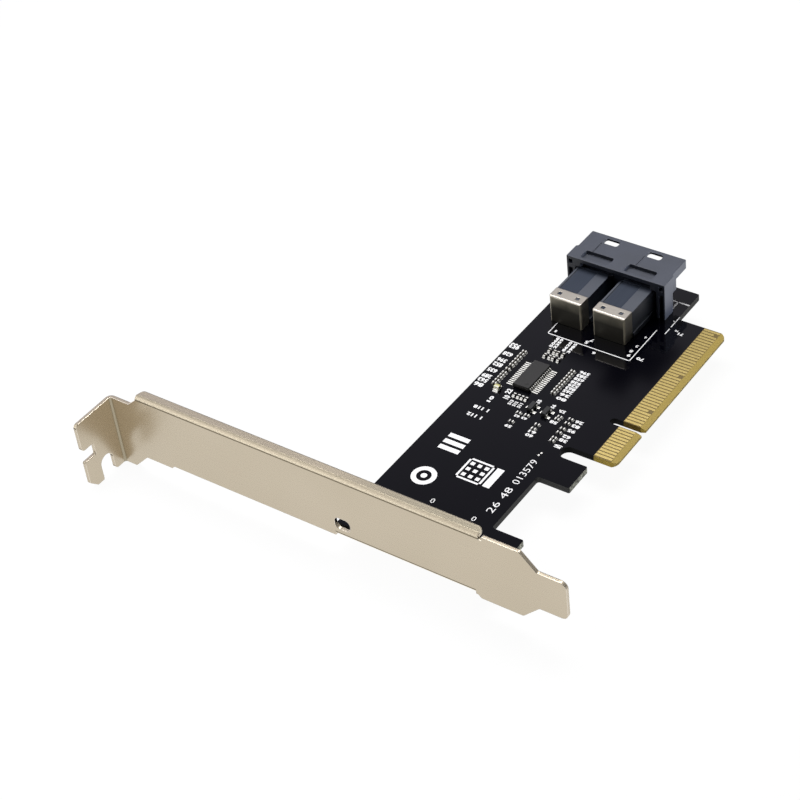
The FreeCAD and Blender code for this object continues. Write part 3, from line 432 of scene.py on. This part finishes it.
# %% Slate nylon
# To the eye: slate grey with a low sheen, with painted shade on the side towards the bracket.
slate_nylon, tree, shader, place = start_finish("slate_glass_filled_nylon")
skin = put(tree, "TexNoise", {"Vector": place, "Scale": per_mm(0.18), "Detail": 3.0})
cloud = put(tree, "TexNoise", {"Vector": place, "Scale": per_mm(5.0), "Detail": 2.0})
skin_tone = put(tree, "Mix", {0: cloud, COLOUR_A: "#222834", COLOUR_B: "#303646"}, data_type="RGBA")
normal = put(tree, "NewGeometry").outputs["Normal"]
facing = put(tree, "SeparateXYZ", {0: normal})
# Painted shade: faces towards the bracket take a darker tone and less shine.
shaded_side = put(tree, "Math", {0: facing.outputs["X"], 1: -0.7}, operation="LESS_THAN")
tone = put(tree, "Mix", {0: shaded_side, COLOUR_A: skin_tone, COLOUR_B: "#181c26"}, data_type="RGBA")
lustre = put(tree, "MapRange", {"Value": shaded_side, "To Min": 1.0, "To Max": 0.4})
moulded_edge = put(tree, "Bevel", {"Radius": 0.15 * MM}, samples=6)
texture = put(tree, "Bump", {"Height": skin, "Strength": 0.12, "Distance": 0.05 * MM,
                             "Normal": moulded_edge})
gloss = put(tree, "MapRange", {"Value": skin, "To Min": 0.4, "To Max": 0.5})
feed(tree, shader, {"Base Color": tone, "Roughness": gloss, "Normal": texture,
                    "Specular IOR Level": lustre})
print(slate_nylon.name, "has", len(tree.nodes), "nodes")

# %% [markdown]
# ## Polymer of the contact modules
# The modules are a liquid-crystal polymer, whose flow leaves faint lines along the part. The top of each
# has a sunk panel with a duller skin. The two panels could be two materials, but they repeat at the pitch
# of the ports, so a modulo of the place across the card finds both.

# %% Liquid-crystal polymer
first_panel_y = 22.1
port_pitch = 11.9
panel_inside = 4.7
panel_outside = 5.3
# To the eye: blue-black, with a dull stripe beside a brighter one on each module.
black_polymer, tree, shader, place = start_finish("black_liquid_crystal_polymer")
drawn = put(tree, "Mapping", {"Vector": place, "Scale": (0.06, 1.0, 1.0)})
flow_lines = put(tree, "TexNoise", {"Vector": drawn, "Scale": per_mm(0.35), "Detail": 3.0})
across = put(tree, "SeparateXYZ", {0: place})
from_panel = put(tree, "Math", {0: across.outputs["Y"], 1: first_panel_y * MM}, operation="SUBTRACT")
repeated = put(tree, "Math", {0: from_panel, 1: port_pitch * MM}, operation="FLOORED_MODULO")
in_panel = put(tree, "MapRange", {"Value": repeated, "From Min": panel_outside * MM,
                                  "From Max": panel_inside * MM})
tone = put(tree, "Mix", {0: flow_lines, COLOUR_A: "#2f3542", COLOUR_B: "#383f4c"}, data_type="RGBA")
dulled = put(tree, "MapRange", {"Value": in_panel, "To Min": 0.45, "To Max": 0.7})
sheen = put(tree, "MapRange", {"Value": in_panel, "To Min": 1.0, "To Max": 0.2})
moulded_edge = put(tree, "Bevel", {"Radius": 0.15 * MM}, samples=6)
texture = put(tree, "Bump", {"Height": flow_lines, "Strength": 0.2, "Distance": 0.04 * MM,
                             "Normal": moulded_edge})
feed(tree, shader, {"Base Color": tone, "Normal": texture, "Roughness": dulled,
                    "Specular IOR Level": sheen})
print(black_polymer.name, "has", len(tree.nodes), "nodes")

# %% [markdown]
# ## Epoxy of chip and transistors
# Chip and transistors are moulded in epoxy filled with ground silica. The filler shows as a very fine
# tooth on a matt skin. Real grains are hundredths of a millimetre, too fine to show, so the noise is drawn
# a tenth of a millimetre wide.

# %% Epoxy mouldings
# To the eye: a matt, slightly warm black.
filled_epoxy, tree, shader, filler = mottled_finish("filled_epoxy_moulding", 0.1, 2.0, "#141313", "#201e1d")
tooth = put(tree, "Bump", {"Height": filler, "Strength": 0.2, "Distance": 0.02 * MM})
feed(tree, shader, {"Normal": tooth, "Roughness": 0.5, "Specular IOR Level": 0.42})
# To the eye: a deeper, smoother black than the chip.
black_epoxy, tree, shader, filler = mottled_finish("black_epoxy_moulding", 0.12, 2.0, "#060607", "#0e0e0f")
tooth = put(tree, "Bump", {"Height": filler, "Strength": 0.15, "Distance": 0.02 * MM})
feed(tree, shader, {"Normal": tooth, "Roughness": 0.42})
print(filled_epoxy.name, black_epoxy.name)

# %% [markdown]
# ## Ceramic, glaze, white moulding and ink
# Capacitors are fired ceramic blocks, resistors have a black glaze, the status light has a white base, and
# the printed marks are white epoxy ink, a little uneven where the screen laid it down. They are small, so
# two tones and one roughness each are enough to tell them apart.

# %% Ceramic, glaze, white moulding and ink
# To the eye: dark tan with a fine speckle.
fired_ceramic, tree, shader, noise = mottled_finish("fired_tan_ceramic", 0.08, 3.0, "#1c1711", "#3a2f1f")
feed(tree, shader, {"Roughness": 0.45})
# To the eye: glassy black that pools unevenly.
black_glaze, tree, shader, noise = mottled_finish("black_resistor_glaze", 0.25, 2.0, "#0d0d10", "#1b1b20")
feed(tree, shader, {"Roughness": 0.28})
# To the eye: a warm, clean white.
white_moulding, tree, shader, noise = mottled_finish("white_light_base", 0.4, 2.0, "#dcdacd", "#f2f1e8")
feed(tree, shader, {"Roughness": 0.4})
# To the eye: flat white with a trace of the screen.
white_ink, tree, shader, noise = mottled_finish("white_epoxy_ink", 0.3, 3.0, "#ececec", "#fbfbfb")
feed(tree, shader, {"Roughness": 0.55})
print(fired_ceramic.name, black_glaze.name, white_moulding.name, white_ink.name)

# %% [markdown]
# ## Resin of the status light
# The light's lens is a yellowish clear resin. At the bracket end it is painted near-white, partly for the
# white cup that shows through and partly as a painted highlight, and towards the other end it is olive.
# Real glass-like refraction would need a modelled cup and chip inside; a graded tone with some light let
# in under the surface looks the same at this size.

# %% Light resin
cream_end_x = -3.4
olive_end_x = -2.7
# To the eye: a milky drop that goes from cream to olive.
light_resin, tree, shader, place = start_finish("yellowish_clear_resin")
along = put(tree, "SeparateXYZ", {0: place})
depth = put(tree, "MapRange", {"Value": along.outputs["X"], "From Min": cream_end_x * MM,
                               "From Max": olive_end_x * MM})
# Partly painted highlight: the bracket end is painted near-white.
tone = put(tree, "Mix", {0: depth, COLOUR_A: "#f7f5e2", COLOUR_B: "#b9b372"}, data_type="RGBA")
feed(tree, shader, {"Base Color": tone, "Roughness": 0.2, "Subsurface Weight": 0.3,
                    "Subsurface Radius": (0.4 * MM, 0.35 * MM, 0.15 * MM)})
print(light_resin.name, "has", len(tree.nodes), "nodes")

# %% [markdown]
# ## Finishes on the solids
# Every solid takes the finish of its real material. The name of a node says what it is, so a short table
# of names, and of endings for those that come in several, is enough.

# %% Dress the solids
finish_of = {
    "circuit_board": solder_mask,
    "edge_fingers_component_side": hard_gold,
    "edge_fingers_solder_side": hard_gold,
    "slot_bracket": satin_nickel,
    "bracket_screws": zinc_steel,
    "port_housing": slate_nylon,
    "clock_chip_body": filled_epoxy,
    "transistor_bodies": black_epoxy,
    "status_light_base": white_moulding,
    "status_light_lens": light_resin,
}
finish_of_ending = {
    "contact_module": black_polymer,
    "module_end_cap": bright_nickel,
    "port_contacts": hard_gold,
    "port_tails": bright_tin,
    "capacitor_bodies": fired_ceramic,
    "resistor_bodies": black_glaze,
    "terminals": bright_tin,
    "leads": bright_tin,
}
for name, solid in nodes.items():
    ending = next((key for key in finish_of_ending if name.endswith(key)), None)
    finish = finish_of.get(name) or finish_of_ending[ending]
    solid.data.materials.clear()
    solid.data.materials.append(finish)
print("dressed", len(nodes), "solids")

# %% [markdown]
# ## Shapes for solder and ink
# Solder and ink are many small shapes on one board, so each kind becomes one mesh. A bmesh cube, scaled
# and turned as it is created, gives bars and blocks, and a small rectangle spun a full turn gives rings.
# Curves with a bevel could do the lines too, but they would have to be turned into meshes later.

# %% Blocks, bars and rings
def add_block(mesh, low, high):
    """A box between two corners in millimetres."""
    low, high = Vector(low) * MM, Vector(high) * MM
    matrix = Matrix.LocRotScale((low + high) / 2, None, high - low)
    return bmesh.ops.create_cube(mesh, size=1.0, matrix=matrix)["verts"]


def add_bar(mesh, start, end, width, height):
    """A flat bar on the board from one point to another, in millimetres."""
    start, end = Vector((*start, 0.0)), Vector((*end, 0.0))
    run = end - start
    middle = (start + end) / 2 + Vector((0, 0, height / 2))
    turn = Euler((0, 0, math.atan2(run.y, run.x)))
    matrix = Matrix.LocRotScale(middle * MM, turn, Vector((run.length + width, width, height)) * MM)
    return bmesh.ops.create_cube(mesh, size=1.0, matrix=matrix)["verts"]


def add_frame(mesh, corners, width, height):
    """Bars round a closed outline."""
    for at in range(len(corners)):
        add_bar(mesh, corners[at - 1], corners[at], width, height)


def add_ring(mesh, centre, inner, outer, height, steps):
    """A flat ring on the board, made by spinning its section a full turn."""
    corners = ((inner, 0.0), (outer, 0.0), (outer, height), (inner, height))
    middle = Vector((*centre, 0.0)) * MM
    section = [mesh.verts.new(middle + Vector((u, 0.0, z)) * MM) for u, z in corners]
    loop = [mesh.edges.new((section[at - 1], section[at])) for at in range(4)]
    bmesh.ops.spin(mesh, geom=loop, cent=middle, axis=(0, 0, 1), angle=math.tau, steps=steps, use_merge=True)


print("shapes:", add_block.__name__, add_bar.__name__, add_frame.__name__, add_ring.__name__)

# %% [markdown]
# ## Figures
# Printed figures start as a text object, which is the only easy way to get the strokes. It becomes a mesh
# at once, and the mesh is scaled to fill a box and moved into place, so that the finished object stays at
# the origin.

# %% Figures
def add_number(mesh, text, centre, length, height, turn, rise, weight=0.04):
    """Printed figures that fill a box of that length and height, in millimetres; weight thickens strokes."""
    curve = bpy.data.curves.new("figures", "FONT")
    curve.body = text
    curve.resolution_u = 2
    curve.extrude = 0.5
    curve.offset = weight
    words = bpy.data.objects.new("figures", curve)
    scene.collection.objects.link(words)
    bpy.context.view_layer.update()
    solid = bpy.data.meshes.new_from_object(words.evaluated_get(bpy.context.evaluated_depsgraph_get()))
    bpy.data.objects.remove(words)
    points = [vertex.co for vertex in solid.vertices]
    low = Vector([min(p[at] for p in points) for at in range(3)])
    high = Vector([max(p[at] for p in points) for at in range(3)])
    size = high - low
    fit = Matrix.Diagonal((length / size.x, height / size.y, rise / size.z, 1.0))
    spot = Matrix.Translation(Vector((*centre, rise / 2)) * MM) @ Matrix.Rotation(turn, 4, "Z")
    solid.transform(spot @ Matrix.Scale(MM, 4) @ fit @ Matrix.Translation(-(low + high) / 2))
    mesh.from_mesh(solid)
    bpy.data.meshes.remove(solid)


print("figures by", add_number.__name__)

# %% [markdown]
# ## From mesh to piece, and back to solids
# A finished mesh becomes an object that rides on the card. Solder has to find the leads, and one node
# holds many of them, so the other helper splits a node into its separate solids and gives the box of each.
# It walks from vertex to vertex along the edges, on a copy whose doubles are merged first.

# %% Pieces and solids
weld_gap = 0.0005
solid_weld_gap = 0.001


def finish_piece(mesh, name, finish):
    """Turn a bmesh into a piece that rides on the card."""
    bmesh.ops.remove_doubles(mesh, verts=mesh.verts, dist=weld_gap * MM)
    bmesh.ops.recalc_face_normals(mesh, faces=mesh.faces)
    data = bpy.data.meshes.new(name)
    mesh.to_mesh(data)
    mesh.free()
    data.materials.append(finish)
    piece = bpy.data.objects.new(name, data)
    scene.collection.objects.link(piece)
    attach(piece, "root")
    print(name, "has", len(data.polygons), "faces")


def solids_of(name):
    """The box of each separate solid of a node, in millimetres, as (low, high) corners."""
    mesh = bmesh.new()
    mesh.from_mesh(nodes[name].data)
    bmesh.ops.remove_doubles(mesh, verts=mesh.verts, dist=solid_weld_gap * MM)
    left = set(mesh.verts)
    boxes = []
    while left:
        front = [left.pop()]
        island = []
        while front:
            vertex = front.pop()
            island.append(vertex.co / MM)
            linked = [edge.other_vert(vertex) for edge in vertex.link_edges]
            fresh = [other for other in linked if other in left]
            left.difference_update(fresh)
            front.extend(fresh)
        low = Vector([min(p[at] for p in island) for at in range(3)])
        high = Vector([max(p[at] for p in island) for at in range(3)])
        boxes.append((low, high))
    mesh.free()
    return boxes


print("leads found:", len(solids_of("clock_chip_leads")))

# %% [markdown]
# ## Solder on the lands
# Every lead of the chip and the transistors sits on a land under a flat pillow of solder that runs out
# past the lead. A thin block gives the land, and an inset draws its top in and raises it. The boxes of the
# leads say where each one goes, so the solder follows the parts.

# %% Solder lands
land_height = 0.05
land_inset = 0.25
pillow_rise = 0.6
chip_land_half_width = 0.16
chip_land_back = 0.75
chip_land_ahead = 1.0
transistor_land_margin = (0.17, 0.3)
lands = bmesh.new()


def add_land(mesh, low, high):
    """A pillow of solder: a thin block whose top is drawn in and raised."""
    verts = add_block(mesh, (*low, 0.0), (*high, land_height))
    top = [face for face in mesh.faces if all(v in verts for v in face.verts) and face.normal.z > 0.9]
    inset = min(high[0] - low[0], high[1] - low[1]) * land_inset * MM
    bmesh.ops.inset_region(mesh, faces=top, thickness=inset, depth=pillow_rise * land_height * MM)


chip_low, chip_high = [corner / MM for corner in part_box("clock_chip_body")]
chip_middle_y = (chip_low.y + chip_high.y) / 2
for low, high in solids_of("clock_chip_leads"):
    side = 1.0 if (low.y + high.y) / 2 > chip_middle_y else -1.0
    tip = high.y if side > 0 else low.y
    near_y, far_y = sorted((tip - side * chip_land_back, tip + side * chip_land_ahead))
    middle = (low.x + high.x) / 2
    add_land(lands, (middle - chip_land_half_width, near_y), (middle + chip_land_half_width, far_y))
margin_x, margin_y = transistor_land_margin
for low, high in solids_of("transistor_leads"):
    add_land(lands, (low.x - margin_x, low.y - margin_y), (high.x + margin_x, high.y + margin_y))
finish_piece(lands, "solder_lands", bright_tin)

# %% [markdown]
# ## Solder fillets
# At the end of a small chip part the solder climbs the end face as a sloping fillet. A cube whose outer
# upper edge is pulled down makes such a wedge. Each terminal's nearest neighbour is the other end of the
# same part, so the way from it to the terminal points outwards.

# %% Solder fillets
fillet_reach = 0.24
fillet_margin = 0.04
fillet_climb = 0.6
fillet_toe_height = 0.04
fillet_toe_setback = 0.06
fillets = bmesh.new()


def add_fillet(mesh, low, high, outward):
    """A wedge of solder against a terminal's end face."""
    across = Vector((-outward.y, outward.x, 0.0))
    half_length = abs((high - low).dot(outward)) / 2
    half_width = abs((high - low).dot(across)) / 2 + fillet_margin
    rise = (high.z - low.z) * fillet_climb
    centre = (low + high) / 2 + outward * (half_length + fillet_reach / 2)
    centre.z = rise / 2
    turn = Euler((0, 0, math.atan2(outward.y, outward.x)))
    matrix = Matrix.LocRotScale(centre * MM, turn, Vector((fillet_reach, 2 * half_width, rise)) * MM)
    for vertex in bmesh.ops.create_cube(mesh, size=1.0, matrix=matrix)["verts"]:
        is_outer = (vertex.co / MM - centre).dot(outward) > 0
        if is_outer and vertex.co.z > 0.5 * rise * MM:
            vertex.co.z = fillet_toe_height * MM
            vertex.co -= outward * fillet_toe_setback * MM


for name in [name for name in nodes if name.endswith("_terminals")]:
    boxes = solids_of(name)
    middles = [(low + high) / 2 for low, high in boxes]
    for at, (low, high) in enumerate(boxes):
        others = [middle for other, middle in enumerate(middles) if other != at]
        partner = min(others, key=lambda middle: (middle - middles[at]).length)
        add_fillet(fillets, low, high, (middles[at] - partner).normalized())
finish_piece(fillets, "solder_fillets", bright_tin)

# %% [markdown]
# ## Solder cones under the connector
# On the solder side each connector pin ends in a small cone of solder. A short cone with eight sides per
# pin reads well and stays light, since there are dozens of them.

# %% Pin solder
cone_height = 0.45 * MM
cone_tip_radius = 0.2 * MM
cone_foot_radius = 0.37 * MM
board_low_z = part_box("circuit_board")[0].z
cones = bmesh.new()
for name in ("upper_port_tails", "lower_port_tails"):
    for low, high in solids_of(name):
        middle = (low + high) / 2 * MM
        spot = Matrix.Translation((middle.x, middle.y, board_low_z - cone_height / 2))
        bmesh.ops.create_cone(cones, cap_ends=True, segments=8, radius1=cone_tip_radius,
                              radius2=cone_foot_radius, depth=cone_height, matrix=spot)
finish_piece(cones, "pin_solder", bright_tin)

# %% [markdown]
# ## Printed outlines
# White ink marks the outline of the connector and two small boxes beside the bracket. A picture of the
# print could be laid on the board, but bars have clean edges at any distance. The marks near the foot of
# the hood stand in its shade, so they are drawn heavier.

# %% Printed outlines
ink_height = 0.025
line_width = 0.24
heavy_line_width = 1.6 * line_width
box_line_width = 0.2
box_size = Vector((1.1, 0.7))
ink = bmesh.new()
outline_bars = (
    ((20.1, 15.3), (20.1, 37.6)), ((20.1, 37.6), (24.3, 37.6)), ((20.1, 15.3), (32.9, 15.3)),
    ((32.8, 12.9), (34.8, 12.9)), ((35.7, 12.9), (39.8, 12.9)), ((37.9, 12.9), (37.9, 13.5)),
)
for start, end in outline_bars:
    add_bar(ink, start, end, line_width, ink_height)
for start, end in (((44.9, 13.2), (44.9, 17.5)), ((42.2, 16.1), (44.9, 16.1))):
    add_bar(ink, start, end, heavy_line_width, ink_height)
corner_signs = ((-1, -1), (1, -1), (1, 1), (-1, 1))
for middle in (Vector((-41.3, 28.9)), Vector((-41.7, 17.9))):
    corners = [middle + Vector(signs) * box_size / 2 for signs in corner_signs]
    add_frame(ink, corners, box_line_width, ink_height)
print("outline bars:", len(outline_bars))

# %% [markdown]
# ## Printed figures
# Most small parts have a number beside them. Beside upright parts the numbers run up the board, so they
# are turned a quarter turn. The figures of a row share their y and their size, which keeps the list short,
# and figures that stand alone give all of it.

# %% Printed figures
quarter = math.pi / 2
# Each row: its figures with their x, then the y, length and height that they share.
upright_rows = (
    ({"86": -3.6, "563": -1.8, "289": -0.1, "635": 2.2, "852": 4.6, "396": 6.4, "628": 8.9},
     41.75, 2.5, 1.4),
    ({"953": 12.2}, 41.85, 2.6, 2.0),
    ({"80": 0.9, "36": 2.4, "265": 3.8, "863": 5.0, "529": 6.2, "938": 7.4, "658": 8.7, "283": 10.0,
      "596": 11.3}, 22.1, 2.6, 1.05),
    ({"5": -13.3, "38": -11.1, "62": -9.7, "95": -7.5, "83": -5.7, "26": -4.2}, 14.25, 2.0, 1.05),
    ({"1 112": -13.35, "1 118": -10.5}, 36.5, 4.0, 1.1),
)
# Level figures beside the connector's capacitors, with their y.
port_label_x = 17.85
port_label_size = (4.0, 0.85)
port_labels = {"5068": 34.35, "2359": 33.25, "8620": 30.85, "3985": 29.5}
# Single figures: x, y, length and height.
level_figures = (
    ("10", -4.4, 33.5, 1.2, 1.5), ("22", -2.4, 34.2, 1.7, 1.4), ("511", -5.5, 29.2, 1.7, 0.9),
    ("512", -5.5, 30.5, 1.7, 0.9), ("513", -5.5, 31.7, 1.7, 0.9), ("10", -6.7, 36.4, 2.2, 1.0),
    ("55", -2.3, 26.1, 1.4, 1.0), ("56", -2.2, 22.3, 1.4, 1.0),
)
upright_figures = (
    ("57", -2.7, 19.5, 1.4, 1.0), ("58", -6.8, 19.4, 1.9, 1.0), ("59", -12.7, 27.8, 1.7, 1.0),
    ("60", -13.2, 21.9, 1.9, 1.0), ("61", -11.9, 21.9, 1.9, 0.95), ("62", -8.9, 27.9, 1.4, 0.8),
    ("63", -8.8, 26.0, 1.4, 0.8), ("70", 21.8, 13.4, 1.9, 1.0), ("71", 34.3, 9.6, 1.3, 0.9),
    ("72", 35.0, 11.0, 1.0, 0.6), ("9", 21.8, 16.4, 0.9, 1.0), ("8", 23.4, 16.7, 0.9, 1.0),
    ("3", 25.6, 16.4, 0.7, 0.9), ("4", 29.4, 16.2, 0.7, 0.9), ("6", 18.7, 24.1, 0.9, 0.9),
    ("5", 21.4, 27.6, 0.9, 1.1), ("7", 22.6, 26.9, 0.9, 1.1), ("1", 21.6, 36.3, 0.5, 0.8),
)
upright_print = [(text, x, y, length, height) for labels, y, length, height in upright_rows
                 for text, x in labels.items()]
upright_print += upright_figures
level_print = [(text, port_label_x, y, *port_label_size) for text, y in port_labels.items()]
level_print += level_figures
for group, turn in ((upright_print, quarter), (level_print, 0.0)):
    for text, x, y, length, height in group:
        add_number(ink, text, (x, y), length, height, turn, ink_height)
print("figures:", len(upright_print) + len(level_print))

# %% [markdown]
# ## Plain signs on the open half of the board
# The open area between chip and bracket carries a few bold marks. They are kept plain: a ring round a dot,
# three bars, a frame of squares over a solid bar, and a row of figures.

# %% Plain signs
ring_middle = (-35.5, 35.2)
add_ring(ink, ring_middle, 1.75, 2.95, ink_height, 40)
add_ring(ink, ring_middle, 0.01, 0.75, ink_height, 24)
bar_half_width = 0.65
for x in (-25.6, -23.5, -21.4):
    add_block(ink, (x - bar_half_width, 32.5, 0.0), (x + bar_half_width, 37.9, ink_height))
add_frame(ink, ((-32.2, 22.9), (-25.8, 22.9), (-25.8, 29.0), (-32.2, 29.0)), 0.5, ink_height)
square_half = 0.5
for x in (-30.9, -29.0, -27.1):
    for y in (24.1, 25.95, 27.8):
        low = (x - square_half, y - square_half, 0.0)
        high = (x + square_half, y + square_half, ink_height)
        add_block(ink, low, high)
add_block(ink, (-32.2, 20.3, 0.0), (-25.7, 22.1, ink_height))
row_y = 16.2
row_height = 1.75
thin_strokes = -0.005
for text, left, right in (("26", -38.5, -34.9), ("48", -33.4, -29.8), ("013579", -28.2, -19.6)):
    middle = ((left + right) / 2, row_y)
    add_number(ink, text, middle, right - left, row_height, 0.0, ink_height, weight=thin_strokes)
finish_piece(ink, "board_print", white_ink)

# %% [markdown]
# ## Test pads
# A few plated holes are left bare of lacquer so that a probe can reach them, and they shine. A ring spun
# from a small section is enough for each.

# %% Test pads
pad_hole_radius = 0.08
pad_radius = 0.26
pad_height = 0.02
pads = bmesh.new()
for middle in ((-17.8, 16.5), (-16.9, 16.3), (-2.6, 20.2)):
    add_ring(pads, middle, pad_hole_radius, pad_radius, pad_height, 12)
finish_piece(pads, "test_pads", bright_tin)

# %% [markdown]
# ## Floor
# The card lies on plain white paper. Lit brightly enough to look white, the paper would wash out the card.
# So it is plain diffuse paper for the light that falls on the card, and what the camera or a reflection
# sees of it is lifted to paper white while it keeps a trace of the shadow.

# %% Floor
floor_gap = 0.05
floor_radius = 3.0
paper_lift = 0.94
# To the eye: clean white paper with a trace of shadow.
paper = bpy.data.materials.new("white_paper_floor")
paper.use_nodes = True
tree = paper.node_tree
tree.nodes.clear()
ray = put(tree, "LightPath")
in_view = put(tree, "Math", {0: ray.outputs["Is Camera Ray"], 1: ray.outputs["Is Glossy Ray"]},
              operation="MAXIMUM")
seen = put(tree, "Math", {0: in_view, 1: ray.outputs["Is Transmission Ray"]}, operation="MAXIMUM")
lift = put(tree, "Math", {0: seen, 1: paper_lift}, operation="MULTIPLY")
matt_paper = put(tree, "BsdfDiffuse", {"Color": "#f4f4f4"})
glow = put(tree, "Emission", {"Color": "#ffffff", "Strength": 1.01})
mixed = put(tree, "MixShader", {0: lift, 1: matt_paper, 2: glow})
put(tree, "OutputMaterial", {0: mixed})
floor_mesh = bmesh.new()
floor_place = Matrix.Translation((0, 0, cad_low.z - floor_gap * MM))
bmesh.ops.create_circle(floor_mesh, cap_ends=True, radius=floor_radius, segments=64, matrix=floor_place)
floor_data = bpy.data.meshes.new("floor")
floor_mesh.to_mesh(floor_data)
floor_mesh.free()
floor_data.materials.append(paper)
floor = bpy.data.objects.new("floor", floor_data)
scene.collection.objects.link(floor)
print("floor at", round(floor_place.translation.z / MM, 2), "mm")

# %% [markdown]
# ## The room
# A glossy black board shows the room more than itself. Ahead of the camera the room is grey, paler towards
# the horizon and palest on the left, and it ends on the right as at a curtain. The board's gloss shows the
# grey, and the flange of the bracket gathers the rest. Walls could be modelled, but the world's shader
# needs only the direction of a ray, so ramps over that direction paint them.

# %% Grey room
room = bpy.data.worlds.new("dim_room")
scene.world = room
room.use_nodes = True
sky = room.node_tree
heading = math.radians(32.5)
ahead_way = (math.cos(heading), math.sin(heading), 0.0)
left_way = (-math.sin(heading), math.cos(heading), 0.0)
direction = put(sky, "TexCoord").outputs["Object"]
leftward = put(sky, "VectorMath", {0: direction, 1: left_way}, operation="DOT_PRODUCT")
forward = put(sky, "VectorMath", {0: direction, 1: ahead_way}, operation="DOT_PRODUCT")
parts = put(sky, "SeparateXYZ", {0: direction})
pale = put(sky, "MapRange", {"Value": leftward, "From Min": 0.15, "From Max": 0.35, "To Max": 0.6})
haze = put(sky, "MapRange", {"Value": parts.outputs["Z"], "From Min": 0.6, "From Max": 0.688,
                             "To Min": 0.39, "To Max": 0.21})
curtain = put(sky, "MapRange", {"Value": leftward, "From Min": -0.16, "From Max": -0.08})
hung = put(sky, "Math", {0: haze, 1: curtain}, operation="MULTIPLY")
wall = put(sky, "Math", {0: hung, 1: pale}, operation="ADD")
ahead = put(sky, "MapRange", {"Value": forward, "From Min": 0.0, "From Max": 0.2})
print(room.name, "faces", [round(v, 2) for v in ahead_way])

# %% [markdown]
# ## Black flags
# A photographer hangs black cards, called flags, where a reflection should go dark. Two of them keep the
# board deep black in front of the connector. Their places are slopes, sideways run over rise, for the two
# level directions, so a flag is a soft-edged rectangle on a ceiling at any height.

# %% Black flags
flag_light = 0.03
slope_x = put(sky, "Math", {0: parts.outputs["X"], 1: parts.outputs["Z"]}, operation="DIVIDE")
slope_y = put(sky, "Math", {0: parts.outputs["Y"], 1: parts.outputs["Z"]}, operation="DIVIDE")


def flag(x_range, y_range, soft):
    """A patch of the room that is 1 inside those slopes and fades to 0 across soft edges."""
    sides = []
    for slope, (low, high) in ((slope_x, x_range), (slope_y, y_range)):
        half = (high - low) / 2
        off = put(sky, "Math", {0: slope, 1: (low + high) / 2}, operation="SUBTRACT")
        away = put(sky, "Math", {0: off}, operation="ABSOLUTE")
        sides.append(put(sky, "MapRange", {"Value": away, "From Min": half - soft, "From Max": half + soft,
                                           "To Min": 1.0, "To Max": 0.0}))
    return put(sky, "Math", {0: sides[0], 1: sides[1]}, operation="MULTIPLY")


wide_flag = flag((1.030, 1.080), (0.606, 0.692), 0.004)
narrow_flag = flag((1.007, 1.040), (0.621, 0.646), 0.002)
flags = put(sky, "Math", {0: wide_flag, 1: narrow_flag}, operation="MAXIMUM")
open_room = put(sky, "MapRange", {"Value": flags, "To Min": 1.0, "To Max": flag_light})
flagged = put(sky, "Math", {0: open_room, 1: ahead}, operation="MULTIPLY")
lit = put(sky, "Math", {0: wall, 1: flagged}, operation="MULTIPLY")
feed(sky, sky.nodes["Background"], {"Color": "#f4f2ff", "Strength": lit})
print(room.name, "has", len(sky.nodes), "nodes")

# %% [markdown]
# ## Lamps
# One wide soft box hangs overhead, so upright faces fall off to dark and folded edges catch a bright line.
# A low strip on the left is what the fold along the top of the bracket mirrors. A low box on the right
# keeps the side of the hood's near leg grey down to the board. It would spoil the dark of everything else
# that faces it, so light linking lets it reach the hood alone.

# %% Lamps
def add_soft_box(name, place, target, wide, tall, watts):
    """A flat area lamp that points at a place on the card, in metres."""
    lamp = bpy.data.lights.new(name, "AREA")
    lamp.shape = "RECTANGLE"
    lamp.size = wide
    lamp.size_y = tall
    lamp.energy = watts
    holder = bpy.data.objects.new(name, lamp)
    holder.location = place
    holder.rotation_euler = (Vector(target) - Vector(place)).to_track_quat("-Z", "Y").to_euler()
    scene.collection.objects.link(holder)
    return holder


add_soft_box("overhead_box", (0.147, 0.128, 0.571), (-0.01, 0.03, 0.0), 0.5, 0.3, 3.8)
add_soft_box("fold_strip", (-0.145, 0.122, 0.12), (-0.058, 0.05, 0.015), 0.2, 0.13, 0.15)
leg_box = add_soft_box("leg_box", (0.06, -0.25, 0.05), (0.042, 0.013, 0.005), 0.2, 0.06, 1.2)
hood_alone = bpy.data.collections.new("lit_by_leg_box")
hood_alone.objects.link(nodes["port_housing"])
leg_box.light_linking.receiver_collection = hood_alone
